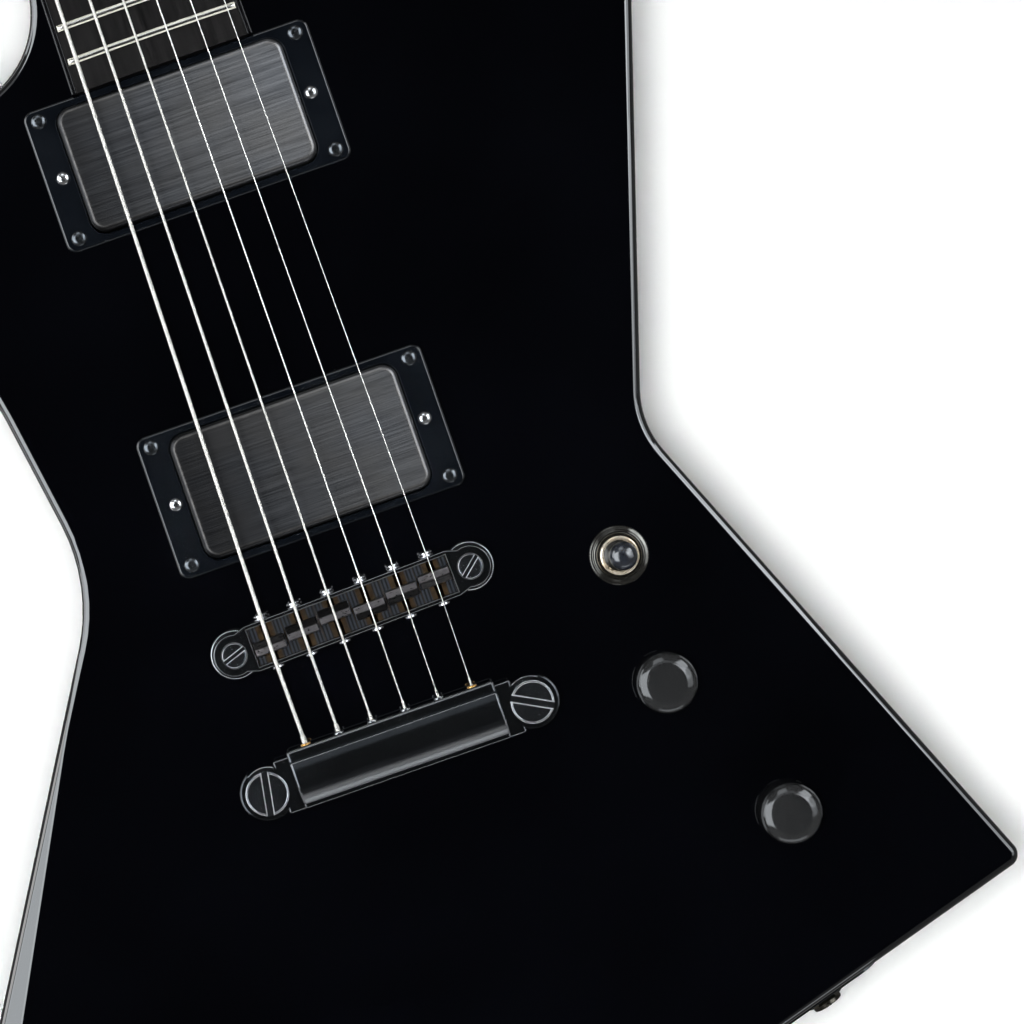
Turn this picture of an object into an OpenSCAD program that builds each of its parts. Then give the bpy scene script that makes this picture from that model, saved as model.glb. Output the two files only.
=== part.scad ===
// Electric guitar: pointed solid body, set neck, two covered active humbuckers,
// tune-o-matic style bridge, stop tailpiece and an inline-six headstock.
//
// Everything is drawn lying face up: x runs to the treble side, y to the headstock and z
// out of the face. z = 0 is the back of the body and y = 0 the line of the bridge posts.
// upright() stands the drawing up, with the headstock at +Z and the face at -Y.

/* [Body] */
// Thickness of the body
body_t = 44; // [38:1:50]
// Wood left above the control cavity
top_wall = 6; // [4:0.5:8]
// Slope of the forearm bevel on the bass side
arm_slope = 38; // [25:1:50]
// Depth of the pickup cavities
pickup_cavity_d = 24; // [20:1:28]
// Thickness of the control cavity's cover
cover_t = 2.4; // [1.5:0.1:3.5]
// Width of the ledge that the cover rests on
cover_ledge = 6; // [5:0.5:8]

/* [Scale] */
// Nominal scale length, nut to theoretical bridge line
scale_length = 628.65; // [610:0.05:650]
// Distance from the bridge posts forward to the theoretical bridge line
bridge_setback = 4; // [2:0.5:6]
// Number of frets
fret_count = 22; // [20:1:24]

/* [Neck] */
// Width of the fingerboard at the nut
nut_w = 42; // [40:0.5:46]
// Width of the fingerboard at its body end
board_end_w = 56.6; // [54:0.2:60]
// Distance from the bridge posts to the fingerboard's body end
board_end_y = 171; // [171:0.5:174]
// Thickness of the fingerboard at its centre
board_t = 6; // [5:0.5:7]
// Radius across the fingerboard's face
board_r = 305; // [240:5:400]
// Angle that the neck leans back from the body
neck_pitch = 2.2; // [1.8:0.1:2.4]
// Distance from the bridge posts to the end of the body at the neck
joint_y = 212; // [208:1:216]
// Depth of the neck's wood at the nut
neck_d = 14; // [12:0.5:16]
// Depth that the neck gains from the nut to the heel
neck_swell = 2.5; // [1:0.5:4]
// Depth of the heel that sits in the body
heel_d = 30; // [26:1:32]
// Length of the curve from the heel to the neck
heel_len = 62; // [50:1:80]
// Thickness of the side binding
binding_w = 1.5; // [1:0.1:2]
// Thickness of the nut along the strings
nut_t = 5; // [4:0.5:6]
// Radius of the truss rod
rod_r = 3; // [2.5:0.25:3.5]

/* [Frets] */
// Width of a fret's crown
fret_w = 2.7; // [2:0.1:3]
// Height of a fret's crown
fret_h = 1.1; // [0.8:0.05:1.2]
// Width of a fret's tang
tang_w = 0.6; // [0.5:0.05:0.8]
// Depth of a fret's tang
tang_d = 1.6; // [1.2:0.1:2]

/* [Headstock] */
// Thickness of the headstock
head_t = 14; // [12:0.5:16]
// Angle that the headstock leans back from the neck
head_tilt = 12; // [8:0.5:14]
// Distance from the nut's back to the first tuner
first_post_y = 33; // [30:1:36]
// Distance between tuners along the neck
post_step_y = 25.6; // [25:0.2:27]
// Distance from the tuner posts to the headstock's bass edge
post_edge = 12; // [11:0.5:14]

/* [Strings] */
// Distance between the outer strings at the bridge
bridge_spread = 52; // [50:0.5:53]
// Distance between the outer strings at the nut
nut_spread = 34.5; // [33:0.5:36]
// Height of the middle strings over the body at the bridge
crest_h = 17.7; // [17.2:0.1:18.5]
// Height of a string's centre above the fingerboard at the nut
nut_action = 1.9; // [1.7:0.1:2.5]
// Diameter of the heaviest string
heavy_string_d = 1.17; // [1:0.01:1.3]
// Diameter of the lightest string
light_string_d = 0.25; // [0.2:0.01:0.3]

/* [Bridge] */
// Distance between the bridge posts
post_spread = 74; // [73.5:0.1:75]
// Slant of the bridge across the body
bridge_slant = 1.58; // [0:0.1:2]
// Width of the bridge frame along the strings
frame_w = 14; // [13.6:0.1:15]
// Height of the bridge frame
frame_h = 7; // [6.5:0.1:7.4]
// Height of the bridge frame's underside over the body
frame_z = 8; // [7.6:0.1:8.4]
// Width of a saddle across the strings
saddle_w = 9.4; // [8.5:0.1:9.8]
// Length of a saddle along the strings
saddle_l = 4.2; // [4:0.1:4.4]
// Radius of an intonation screw
saddle_screw_r = 1.25; // [1:0.05:1.4]
// Travel of a saddle each way
saddle_travel = 2; // [1:0.1:2]

/* [Tailpiece] */
// Distance between the tailpiece studs
stud_spread = 82.5; // [82:0.1:84]
// Distance from the bridge posts back to the tailpiece studs
stud_y = 42.7; // [40:0.1:46]
// Width of the tailpiece along the strings
tail_w = 17.7; // [16:0.1:18]
// Length of the tailpiece's raised bar
tail_bar = 64.6; // [62:0.2:66]
// Radius of the stud heads
stud_head_r = 6.5; // [6:0.1:7]

/* [Pickups] */
// Distance from the bridge posts to the middle of the bridge pickup
bridge_pickup_y = 46.5; // [42:0.5:50]
// Width of a pickup ring beyond each end of its cover
ring_end = 9.3; // [8.8:0.1:10.5]
// Width of a pickup ring beyond each side of its cover
ring_side = 2.8; // [2.4:0.1:3]
// Height of the ring at the neck pickup
neck_ring_h = 4.5; // [4:0.1:5]
// Height of the ring at the bridge pickup
bridge_ring_h = 9; // [8:0.1:9.4]
// Length of a pickup cover
cover_l = 70.4; // [69:0.1:71]
// Width of a pickup cover
cover_w = 38.4; // [37:0.1:39]
// How far a pickup stands out of its ring
cover_proud = 3.4; // [3:0.1:3.6]
// Travel of a pickup towards the strings
pickup_up = 1.5; // [1:0.1:1.5]
// Travel of a pickup into the body
pickup_down = 2; // [1:0.1:2.5]

/* [Controls] */
// Radius of a volume knob
knob_r = 9.2; // [8.5:0.1:10]
// Height of a volume knob
knob_h = 15; // [13:0.5:18]
// Radius of a pot's body
pot_r = 12; // [11:0.5:12.5]
// Radius of a pot's shaft
pot_shaft_r = 3; // [2.5:0.1:3.2]
// Radius of the switch's round nut
switch_nut_r = 9; // [8.5:0.1:10]
// Swing of the switch lever each way
switch_swing = 11; // [8:1:12]
// Radius of the output jack's bore
jack_bore_r = 3.2; // [3.18:0.01:3.25]

/* [Tuners] */
// Radius of a tuner post
post_r = 3; // [2.8:0.1:3.2]
// Height of a tuner post over the headstock
post_h = 18; // [16:0.5:20]
// Radius of a tuner's gear
gear_r = 5.2; // [5:0.1:5.6]
// Radius of a tuner's worm
worm_r = 2.8; // [2.6:0.1:3]
// Radius of a tuner key's shaft
key_r = 2; // [1.8:0.1:2.2]
// Length of a tuner button
button_l = 14; // [12:0.5:16]
// Width of a tuner button
button_w = 20; // [18:0.5:21]

/* [Hidden] */

$fn = 48;
arc_step = 5;             // degrees between the points of a rounded corner
over = 1;                 // how far a cut runs past the face it opens
run_gap = 0.05;           // radial clearance of a shaft that turns or slides in a bore
rest_gap = 0.1;           // clearance of a moving piece over what it rests on

// Strings, low E to high e
string_d = [heavy_string_d, 0.91, 0.66, 0.43, 0.33, light_string_d];
string_sides = 8;
crest_y = [-2.5, -1.1, 0.3, -0.2, 1.0, 2.1];   // intonation of each saddle
crest_t = 2.3;            // length of a saddle's flat crest along its string
crest_gap = 0.2;          // air between a saddle's crest and its string
bend_back = saddle_travel + crest_t / 2 + 0.2; // the strings bend this far behind the crests

// Outline of the body, corner by corner: x, y and the corner's radius
neck_shoulder = 30.8;     // half-width of the body where it ends at the neck
body_outline = [
    [165.2, -135.6, 4], [99.5, 23.9, 28], [162, 217, 7],
    [neck_shoulder, 174.1, 26], [neck_shoulder, joint_y, 0],
    [-neck_shoulder, joint_y, 0], [-neck_shoulder, 163.2, 30],
    [-112, 198, 6], [-80.6, 97, 130], [-70.8, 32.3, 55], [-245, -254, 9]
];
arm_from = [-79, 19];     // where the forearm bevel starts on the outline
arm_to = [-131.2, -79.5]; // a later point of its inner edge

// Neck, seen from the side: its own frame starts at the end of the body, on the top
rear_y = (board_end_y - joint_y) / cos(neck_pitch);
nut_y = (bridge_setback + scale_length - joint_y) / cos(neck_pitch);
head_y = nut_y + nut_t;
board_taper = (board_end_w - nut_w) / 2 / (nut_y - rear_y);
board_drop = board_r - sqrt(board_r * board_r - nut_w * nut_w / 4);
fret_gap = 0.02;
fret_inset = 0.3;         // a fret ends this far inside the binding
neck_sides = 14;
heel_boxy = 0.25;         // exponent of the cross-section at the heel, 1 is an ellipse
neck_round = 0.8;         // the same along the neck
rod_pocket = [9, 24];     // width and length of the truss rod's pocket in the headstock
rod_z = -rod_r - 3.6;     // depth of the rod's axis under the fingerboard

// Headstock, in a frame that starts behind the nut
post_step_x = nut_spread / 5;
wrap_gap = 0.05;
post_offset = post_r + heavy_string_d / 2 + wrap_gap;
function post_at(i) = [-nut_spread / 2 - post_offset + i * post_step_x,
                       first_post_y + i * post_step_y];
edge_dir = [post_step_x, post_step_y] / norm([post_step_x, post_step_y]);
edge_out = [-edge_dir.y, edge_dir.x];
post_margin = [13, 15];   // headstock before the first tuner and past the last one
edge_start = post_at(0) + post_edge * edge_out - post_margin.x * edge_dir;
edge_end = post_at(5) + post_edge * edge_out + post_margin.y * edge_dir;
head_outline = [
    [nut_w / 2, -nut_t, 0], [nut_w / 2 - 1.5, 36, 70], [35, 160, 60],
    [58, 201, 3], [27, 189, 18],
    [edge_end.x, edge_end.y, 6], [edge_start.x, edge_start.y, 7],
    [-nut_w / 2, 4, 14], [-nut_w / 2, -nut_t, 0]
];
head_ramp = 24;           // length of the ramp under the headstock behind the nut
wrap_z = 9;               // height of a string over the headstock's face at its post
rod_cover = [19, 34, 1.8];
rod_cover_screws = [[-6.8, 3.6], [6.8, 3.6], [0, rod_cover.y - 3.5]];
rod_from = 12;            // the truss rod starts this far from the end of the body

// Bridge
post_dy = post_spread / 2 * tan(bridge_slant);
frame_end_r = 6.2;
frame_end = [post_spread / 2 - 2, frame_end_r - 0.3];   // where a rounded end starts
frame_full_x = frame_end.x - 3.5;                        // half-length at full width
frame_floor = 1.6;
channel_l = bridge_spread + saddle_w + 1;
channel_w = 2 * (saddle_l / 2 + saddle_travel + 1.4 + rest_gap);
saddle_screw_z = frame_z + 4.2;
crest_lean = 0.9;         // how far a crest stands from the middle of its saddle
saddle_side_h = 5;
post_head_r = 3.6;
wheel_r = 7.4;
wheel_t = 3;
thread_r = 4;
bushing_r = 5.6;
bushing_l = 20;

// Tailpiece
tail_z = 4;               // underside of the tailpiece over the body
tail_lug_t = 6.5;
tail_lug_r = 10.2;
tail_h = 10;              // height of the raised bar
tail_ledge = [3.1, 7];    // width and height of the ledge over the string holes
string_hole_r = 1.3;
ball_r = 1.9;
ball_seat = 6;
exit_z = 8.6;             // height of the string holes over the body
tail_rear = -stud_y - 8;
tail_front = tail_rear + tail_w;

// Pickups
ring_l = cover_l + 2 * ring_end;
ring_w = cover_w + 2 * ring_side;
neck_ring_gap = 0.1;      // between the fingerboard's end and the neck pickup's ring
neck_pickup_y = board_end_y - neck_ring_gap - ring_w / 2;
window_gap = 0.4;
ring_corner = 3;
cover_corner = 4.5;
cover_wall = 0.6;
pickup_h = cover_proud + 11;
ear_t = 1.5;
ear_x = cover_l / 2 + 3.6;      // height screws, from the middle
ring_screw_x = ring_l / 2 - 4.25;
ring_screw_y = ring_w / 2 - 3.7;
small_screw_r = 1.2;
height_screw_r = 1.3;
spring_r = 3;
spring_seat = 3;          // ring left above a spring

// Controls: x and y of each, and the cavity below them
switch_at = [80.3, -10.8];
switch_box = [16, 28, 20];
knob_at = [[80.5, -50.5], [102.5, -98.8]];
wire_r = 4;               // wires run from pickup to pickup and on to the switch
wire_from = 18;
wire_z = body_t - pickup_cavity_d + wire_r + 4;
to_switch = [switch_at.x - wire_from, switch_at.y - bridge_pickup_y];
cavity_outline = [
    [62, 4, 8], [62, -66, 12], [82, -134, 9], [120, -128, 9], [136, -98, 9], [94.6, 4, 8]
];
pot_h = 9;
pot_bush_r = 4.7;
pot_bush_h = 5;
pot_nut_t = 2.4;
knob_skirt = 0.8;
battery_size = [17.5, 48.5, 26.5];
battery_at = [knob_at[0].x + pot_r + 0.4, knob_at[1].y + pot_r + 0.4];
barrel_r = 5.9;
barrel_h = 4.5;
lever_ball_r = 4.5;
pivot_z = body_t - 2;

// Rear edge, from the bass fin to the treble fin
rear_a = [body_outline[10].x, body_outline[10].y];
rear_b = [body_outline[0].x, body_outline[0].y];
rear_angle = atan2(rear_b.y - rear_a.y, rear_b.x - rear_a.x);
jack_x = 95.7;
jack_plate_size = [38, 26, 2];
jack_screw_x = 14.75;
jack_body_r = 8;
jack_body_l = 20;
jack_bush_r = 4.7;
jack_bush_h = 6;
jack_nut_t = 2.5;

// Strap buttons
rear_button_x = -70;
horn_button_share = 0.78; // place along the bass horn's outer edge
button_h = 13;
button_r = 7;
button_waist = 3.6;
strap_screw_r = 2.2;
strap_screw_l = 24;

// Tuners
housing_h = 12;
mesh_gap = 0.1;
key_z = -head_t - housing_h / 2;
key_x = gear_r + worm_r + mesh_gap;
gear_h = 4;
worm_l = 9;
bush_r = 4.8;
bush_flange = [7, 2.2];
button_t = 7;
button_gap = 3.5;

// ---------------------------------------------------------------- functions and frames

function unit(v) = v / norm(v);
function flat(c) = [c.x, c.y];

// One corner of an outline as an arc from edge to edge
function corner_arc(a, b, c) =
    b[2] == 0 ? [flat(b)] :
    let (u = unit(flat(a) - flat(b)), v = unit(flat(c) - flat(b)), half = acos(u * v) / 2,
         centre = flat(b) + unit(u + v) * b[2] / sin(half),
         from = flat(b) + u * b[2] / tan(half) - centre,
         to = flat(b) + v * b[2] / tan(half) - centre,
         start = atan2(from.y, from.x), turn = (atan2(to.y, to.x) - start + 540) % 360 - 180,
         steps = max(2, ceil(abs(turn) / arc_step)))
    [for (k = [0 : steps]) centre + b[2] * [cos(start + turn * k / steps),
                                            sin(start + turn * k / steps)]];

// A list of corners as the points of its rounded outline
function rounded(corners) =
    let (n = len(corners))
    [for (i = [0 : n - 1])
        each corner_arc(corners[(i + n - 1) % n], corners[i], corners[(i + 1) % n])];

// The same corners moved outwards by d, for corners listed anticlockwise
function grown(corners, d) =
    let (n = len(corners))
    [for (i = [0 : n - 1])
        let (a = corners[(i + n - 1) % n], b = corners[i], c = corners[(i + 1) % n],
             p = unit([b.y - a.y, a.x - b.x]), q = unit([c.y - b.y, b.x - c.x]),
             at = flat(b) + d * (p + q) / (1 + p * q))
        [at.x, at.y, b[2] + d]];

function box_corners(l, w, r) =
    [[-l / 2, -w / 2, r], [l / 2, -w / 2, r], [l / 2, w / 2, r], [-l / 2, w / 2, r]];

function half_board(y) = board_end_w / 2 - board_taper * (y - rear_y);
function bridge_x(i) = (i / 5 - 0.5) * bridge_spread;
function nut_x(i) = (i / 5 - 0.5) * nut_spread;
function crest_z(i) = body_t + crest_h - bridge_x(i) * bridge_x(i) / 2 / board_r;
function fret_y(n) = (bridge_setback + scale_length * pow(2, -n / 12) - joint_y) / cos(neck_pitch);

// Points of the neck's and the headstock's frames in the drawing's frame
function neck_point(p) =
    [p.x, joint_y + p.y * cos(neck_pitch) + p.z * sin(neck_pitch),
     body_t - p.y * sin(neck_pitch) + p.z * cos(neck_pitch)];
function head_point(p) =
    neck_point([p.x, head_y + p.y * cos(head_tilt) + p.z * sin(head_tilt),
                -p.y * sin(head_tilt) + p.z * cos(head_tilt)]);

module upright() { rotate([90, 0, 0]) children(); }
module neck_frame() { translate([0, joint_y, body_t]) rotate([-neck_pitch, 0, 0]) children(); }
module head_frame() {
    neck_frame() translate([0, head_y, 0]) rotate([-head_tilt, 0, 0]) children();
}
module bridge_frame_at() { translate([0, 0, body_t]) rotate([0, 0, bridge_slant]) children(); }
module tuner_frame(i) {
    head_frame() translate(post_at(i)) rotate([0, 0, atan2(edge_dir.y, edge_dir.x)]) children();
}

// On the rear edge at x, halfway up the body, with z pointing out of the edge
module rear_edge(x) {
    translate([x, rear_a.y + (x - rear_a.x) * tan(rear_angle), body_t / 2])
        rotate([0, 0, rear_angle]) rotate([90, 0, 0]) children();
}

// On the outer edge of the bass horn, with z pointing out of the edge
module horn_edge() {
    low = flat(body_outline[8]);
    high = flat(body_outline[7]);
    at = low + horn_button_share * (high - low);
    translate([at.x, at.y, body_t / 2])
        rotate([0, 0, atan2(high.y - low.y, high.x - low.x) + 180])
        rotate([90, 0, 0]) children();
}

// A plate with rounded corners, its middle at the origin
module plate(l, w, r, t) { linear_extrude(t) polygon(rounded(box_corners(l, w, r))); }

// A screw along -z: its head stands on z = 0, with a cross slot in it
module screw(r, l, head_r, head_h) {
    translate([0, 0, -l]) cylinder(r = r, h = l + head_h / 2);
    difference() {
        cylinder(r1 = head_r, r2 = head_r * 0.75, h = head_h);
        for (a = [0, 90])
            rotate([0, 0, a]) translate([-head_r * 0.55, -head_r * 0.12, head_h * 0.45])
                cube([head_r * 1.1, head_r * 0.24, head_h]);
    }
}

// A closed skin over rings of points, each with the same number of points
module skin(rings) {
    m = len(rings[0]);
    last = len(rings) - 1;
    polyhedron(
        points = [for (ring = rings) each ring],
        faces = [
            [for (k = [0 : m - 1]) k],
            for (r = [0 : last - 1]) for (k = [0 : m - 1])
                [r * m + k, (r + 1) * m + k, (r + 1) * m + (k + 1) % m, r * m + (k + 1) % m],
            [for (k = [m - 1 : -1 : 0]) last * m + k]
        ],
        convexity = 6);
}

// ---------------------------------------------------------------- body

module arm_bevel() {
    run = arm_to - arm_from;
    translate([arm_from.x, arm_from.y, body_t]) rotate([0, 0, atan2(run.y, run.x)])
        rotate([arm_slope, 0, 0]) translate([0, -60, 0]) cube([320, 60, 60]);
}

module neck_plan(from, to) {
    polygon([[-half_board(from), from], [half_board(from), from],
             [half_board(to), to], [-half_board(to), to]]);
}

module pickup_cavity(y) {
    translate([0, y, body_t - pickup_cavity_d]) {
        plate(cover_l + 1, cover_w + 1, cover_corner, pickup_cavity_d + over);
        plate(2 * ear_x + 9.4, 13, 2, pickup_cavity_d + over);
    }
}

module cover_screw_places() {
    spots = grown(cavity_outline, cover_ledge / 2);
    middle = [96, -60];
    for (c = spots) {
        inward = unit(middle - flat(c));
        translate(flat(c) + inward * (c[2] * 0.36 + 0.4)) children();
    }
}

module body() color([0.02, 0.02, 0.03]) upright() difference() {
    linear_extrude(body_t) polygon(rounded(body_outline));
    arm_bevel();
    neck_frame() translate([0, 0, -heel_d]) linear_extrude(heel_d + 4) neck_plan(rear_y, over);
    pickup_cavity(neck_pickup_y);
    pickup_cavity(bridge_pickup_y);
    translate([wire_from, bridge_pickup_y, wire_z]) rotate([-90, 0, 0])
        cylinder(r = wire_r, h = neck_pickup_y - bridge_pickup_y);
    translate([wire_from, bridge_pickup_y, wire_z])
        rotate([0, 0, atan2(to_switch.y, to_switch.x)]) rotate([0, 90, 0])
        cylinder(r = wire_r, h = norm(to_switch));
    translate([0, 0, -over])
        linear_extrude(body_t - top_wall + over) polygon(rounded(cavity_outline));
    translate([0, 0, -over])
        linear_extrude(cover_t + over) polygon(rounded(grown(cavity_outline, cover_ledge)));
    translate([0, 0, cover_t - over]) cover_screw_places() cylinder(r = small_screw_r, h = 11 + over);
    for (s = [-1, 1]) {
        translate([s * post_spread / 2, s * post_dy, body_t - bushing_l])
            cylinder(r = bushing_r, h = bushing_l + over);
        translate([s * stud_spread / 2, -stud_y, body_t - bushing_l])
            cylinder(r = bushing_r, h = bushing_l + over);
    }
    translate([switch_at.x, switch_at.y, 0]) cylinder(r = barrel_r, h = body_t + over);
    for (k = knob_at) translate([k.x, k.y, 0]) cylinder(r = pot_bush_r, h = body_t + over);
    for (y = [neck_pickup_y, bridge_pickup_y]) for (sx = [-1, 1]) for (sy = [-1, 1])
        translate([sx * ring_screw_x, y + sy * ring_screw_y, body_t - 9])
            cylinder(r = small_screw_r, h = 9 + over);
    rear_edge(jack_x) {
        translate([0, 0, -32]) cylinder(r = jack_body_r + 1, h = 32 + over);
        for (s = [-1, 1]) translate([s * jack_screw_x, 0, -12])
            cylinder(r = small_screw_r, h = 12 + over);
    }
    rear_edge(rear_button_x) translate([0, 0, -strap_screw_l])
        cylinder(r = strap_screw_r, h = strap_screw_l + over);
    horn_edge() translate([0, 0, -strap_screw_l])
        cylinder(r = strap_screw_r, h = strap_screw_l + over);
}

module rear_cover() color([0.04, 0.04, 0.045]) upright() difference() {
    linear_extrude(cover_t) polygon(rounded(grown(cavity_outline, cover_ledge - rest_gap)));
    translate([0, 0, -over]) cover_screw_places() cylinder(r = small_screw_r, h = cover_t + 2 * over);
}

module battery() color([0.55, 0.1, 0.08]) upright()
    translate([battery_at.x, battery_at.y, cover_t]) cube(battery_size);

module strap_button() {
    rotate_extrude() polygon([
        [strap_screw_r, 0], [button_r, 0], [button_r, 1.5], [button_waist + 0.4, 3.5],
        [button_waist, button_h / 2], [button_waist + 0.4, button_h - 4],
        [button_r - 0.4, button_h - 2], [button_r - 0.4, button_h - 0.6],
        [button_r - 1, button_h], [strap_screw_r, button_h]
    ]);
}

module strap_buttons() color([0.08, 0.08, 0.085]) upright() {
    rear_edge(rear_button_x) strap_button();
    horn_edge() strap_button();
}

module strap_screw() {
    translate([0, 0, button_h]) screw(strap_screw_r, button_h + strap_screw_l - over, 4, 1.8);
}

module strap_button_screws() color([0.6, 0.6, 0.62]) upright() {
    rear_edge(rear_button_x) strap_screw();
    horn_edge() strap_screw();
}

module cover_screws() color([0.06, 0.06, 0.065]) upright() {
    cover_screw_places() mirror([0, 0, 1]) screw(small_screw_r, cover_t + 10, 2.6, 1.2);
    head_frame() for (at = rod_cover_screws) translate([at.x, at.y, rod_cover.z])
        screw(small_screw_r, rod_cover.z + 7, 2.2, 1.1);
    rear_edge(jack_x) for (s = [-1, 1]) translate([s * jack_screw_x, 0, jack_plate_size.z])
        screw(small_screw_r, jack_plate_size.z + 11, 2.6, 1.3);
}

// ---------------------------------------------------------------- neck

function smooth(t) = t <= 0 ? 0 : t >= 1 ? 1 : t * t * (3 - 2 * t);
function neck_depth(y) = neck_d + neck_swell * (1 - y / nut_y)
    + (heel_d - neck_d - neck_swell) * smooth(1 - y / heel_len);
function neck_power(y) = neck_round - (neck_round - heel_boxy) * smooth(1 - y / heel_len);
function neck_ring(y) =
    [for (k = [0 : neck_sides])
        let (a = 180 * k / neck_sides)
        [half_board(y) * cos(a), y, -neck_depth(y) * pow(sin(a), neck_power(y))]];

module neck_shaft() {
    heel = [for (k = [0 : 8]) heel_len * k / 8];
    shaft = [for (k = [1 : 6]) heel_len + (head_y + 1 - heel_len) * k / 6];
    skin([for (y = concat(heel, shaft)) neck_ring(y)]);
}

module headstock() {
    difference() {
        translate([0, 0, -head_t]) linear_extrude(head_t) polygon(rounded(head_outline));
        translate([-60, -nut_t - over, -head_t - over]) cube([120, nut_t + over, head_t + 2 * over]);
        translate([-60, 0, -2]) rotate([-atan2(head_t - 2, head_ramp), 0, 0])
            translate([0, -20, -30]) cube([120, 20 + norm([head_ramp, head_t - 2]), 30]);
    }
}

module neck() color([0.03, 0.03, 0.035]) upright() difference() {
    union() {
        neck_frame() {
            translate([0, 0, -heel_d]) linear_extrude(heel_d) neck_plan(rear_y, 0);
            neck_shaft();
            head_blend();
        }
        head_frame() headstock();
    }
    neck_frame() translate([-rod_r, rod_from, rod_z - rod_r])
        cube([2 * rod_r, head_y + 1 - rod_from, rod_r - rod_z + over]);
    head_frame() {
        translate([-rod_pocket.x / 2, 0, rod_z - rod_r - 0.6])
            cube([rod_pocket.x, rod_pocket.y, rod_r - rod_z + 6]);
        for (i = [0 : 5]) translate(post_at(i)) translate([0, 0, -head_t - over])
            cylinder(r = bush_r, h = head_t + 2 * over);
        for (at = rod_cover_screws) translate([at.x, at.y, -8])
            cylinder(r = small_screw_r, h = 8 + over);
    }
}

// The back of the neck runs on under the headstock and fades into its flat back
module head_blend() {
    reach = head_ramp + 4;
    skin([for (k = [0 : 6])
        let (t = k / 6, y = reach * t,
             w = nut_w / 2 - 0.4 - 1.0 * t, d = neck_d * (1 - t) + (head_t - 0.3) * t,
             p = neck_round - (neck_round - 0.3) * t)
        [for (j = [0 : neck_sides])
            let (a = 180 * j / neck_sides, z = -d * pow(sin(a), p) - 0.2)
            [w * cos(a), head_y + y * cos(head_tilt) + z * sin(head_tilt),
             -y * sin(head_tilt) + z * cos(head_tilt)]]]);
}

module board_face(lift) {
    translate([0, 0, board_t + lift - board_r]) rotate([-90, 0, 0])
        translate([0, 0, rear_y - over]) cylinder(r = board_r, h = nut_y - rear_y + 2 * over, $fn = 720);
}

module board_plan(inset) {
    polygon([[-half_board(rear_y) + inset, rear_y], [half_board(rear_y) - inset, rear_y],
             [half_board(nut_y) - inset, nut_y], [-half_board(nut_y) + inset, nut_y]]);
}

module fingerboard() color([0.05, 0.035, 0.03]) upright() neck_frame() difference() {
    intersection() {
        linear_extrude(board_t + over) board_plan(binding_w);
        board_face(0);
    }
    for (n = [1 : fret_count])
        translate([-board_end_w / 2, fret_y(n) - tang_w / 2, board_t - board_drop - tang_d])
            cube([board_end_w, tang_w, board_t]);
}

module fingerboard_binding() color([0.03, 0.03, 0.03]) upright() neck_frame() intersection() {
    difference() {
        linear_extrude(board_t + over) board_plan(0);
        translate([0, 0, -over]) linear_extrude(board_t + 3 * over) union() {
            board_plan(binding_w);
            translate([-nut_w / 4, rear_y - over]) square([nut_w / 2, nut_y - rear_y + 2 * over]);
        }
    }
    board_face(0);
}

module fret(n) {
    half = half_board(fret_y(n)) - binding_w;
    intersection() {
        translate([-half + fret_inset, fret_y(n) - fret_w / 2, 0])
            cube([2 * (half - fret_inset), fret_w, board_t + 3]);
        difference() {
            board_face(fret_h);
            board_face(fret_gap);
        }
    }
    intersection() {
        translate([-half + fret_inset, fret_y(n) - tang_w / 2 + fret_gap,
                   board_t - board_drop - tang_d + fret_gap])
            cube([2 * (half - fret_inset), tang_w - 2 * fret_gap, 4]);
        board_face(fret_h / 2);
    }
}

module frets() color([0.75, 0.75, 0.76]) upright() neck_frame() for (n = [1 : fret_count]) fret(n);

module nut() color([0.1, 0.1, 0.1]) upright() difference() {
    neck_frame() intersection() {
        translate([-nut_w / 2, nut_y, 0]) cube([nut_w, nut_t, board_t + 4]);
        translate([0, 0, board_t + 2.2 - board_r]) rotate([-90, 0, 0])
            translate([0, 0, nut_y - over]) cylinder(r = board_r, h = nut_t + 2 * over, $fn = 720);
    }
    neck_frame() for (i = [0 : 5])
        translate([nut_x(i) - string_d[i] / 2 - fret_gap, nut_y - over,
                   nut_height(i) - string_d[i] / 2 - 2 * fret_gap])
            rotate([-1, 0, 0]) cube([string_d[i] + 2 * fret_gap, nut_t + 2 * over, 6]);
}

function nut_height(i) = board_t + nut_action - nut_x(i) * nut_x(i) / 2 / board_r;

module truss_rod() color([0.5, 0.5, 0.52]) upright() neck_frame() {
    translate([0, rod_from, rod_z]) rotate([-90, 0, 0])
        cylinder(r = rod_r, h = head_y + 3 - rod_from);
    translate([0, head_y + 3, rod_z]) rotate([-90, 0, 0])
        cylinder(r = rod_r + 0.4, h = 9, $fn = 6);
}

module truss_rod_cover() color([0.05, 0.05, 0.055]) upright() head_frame() difference() {
    linear_extrude(rod_cover.z) polygon(rounded([
        [-rod_cover.x / 2, 0.3, 2], [rod_cover.x / 2, 0.3, 2],
        [rod_cover.x / 2 - 2.5, rod_cover.y * 0.6, 8], [0, rod_cover.y + 4, 4],
        [-rod_cover.x / 2 + 2.5, rod_cover.y * 0.6, 8]]));
    for (at = rod_cover_screws) translate([at.x, at.y, -over])
        cylinder(r = small_screw_r, h = rod_cover.z + 2 * over);
}

// ---------------------------------------------------------------- pickups

module each_pickup() {
    translate([0, neck_pickup_y, body_t]) children(0);
    translate([0, bridge_pickup_y, body_t]) children(1);
}

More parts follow.
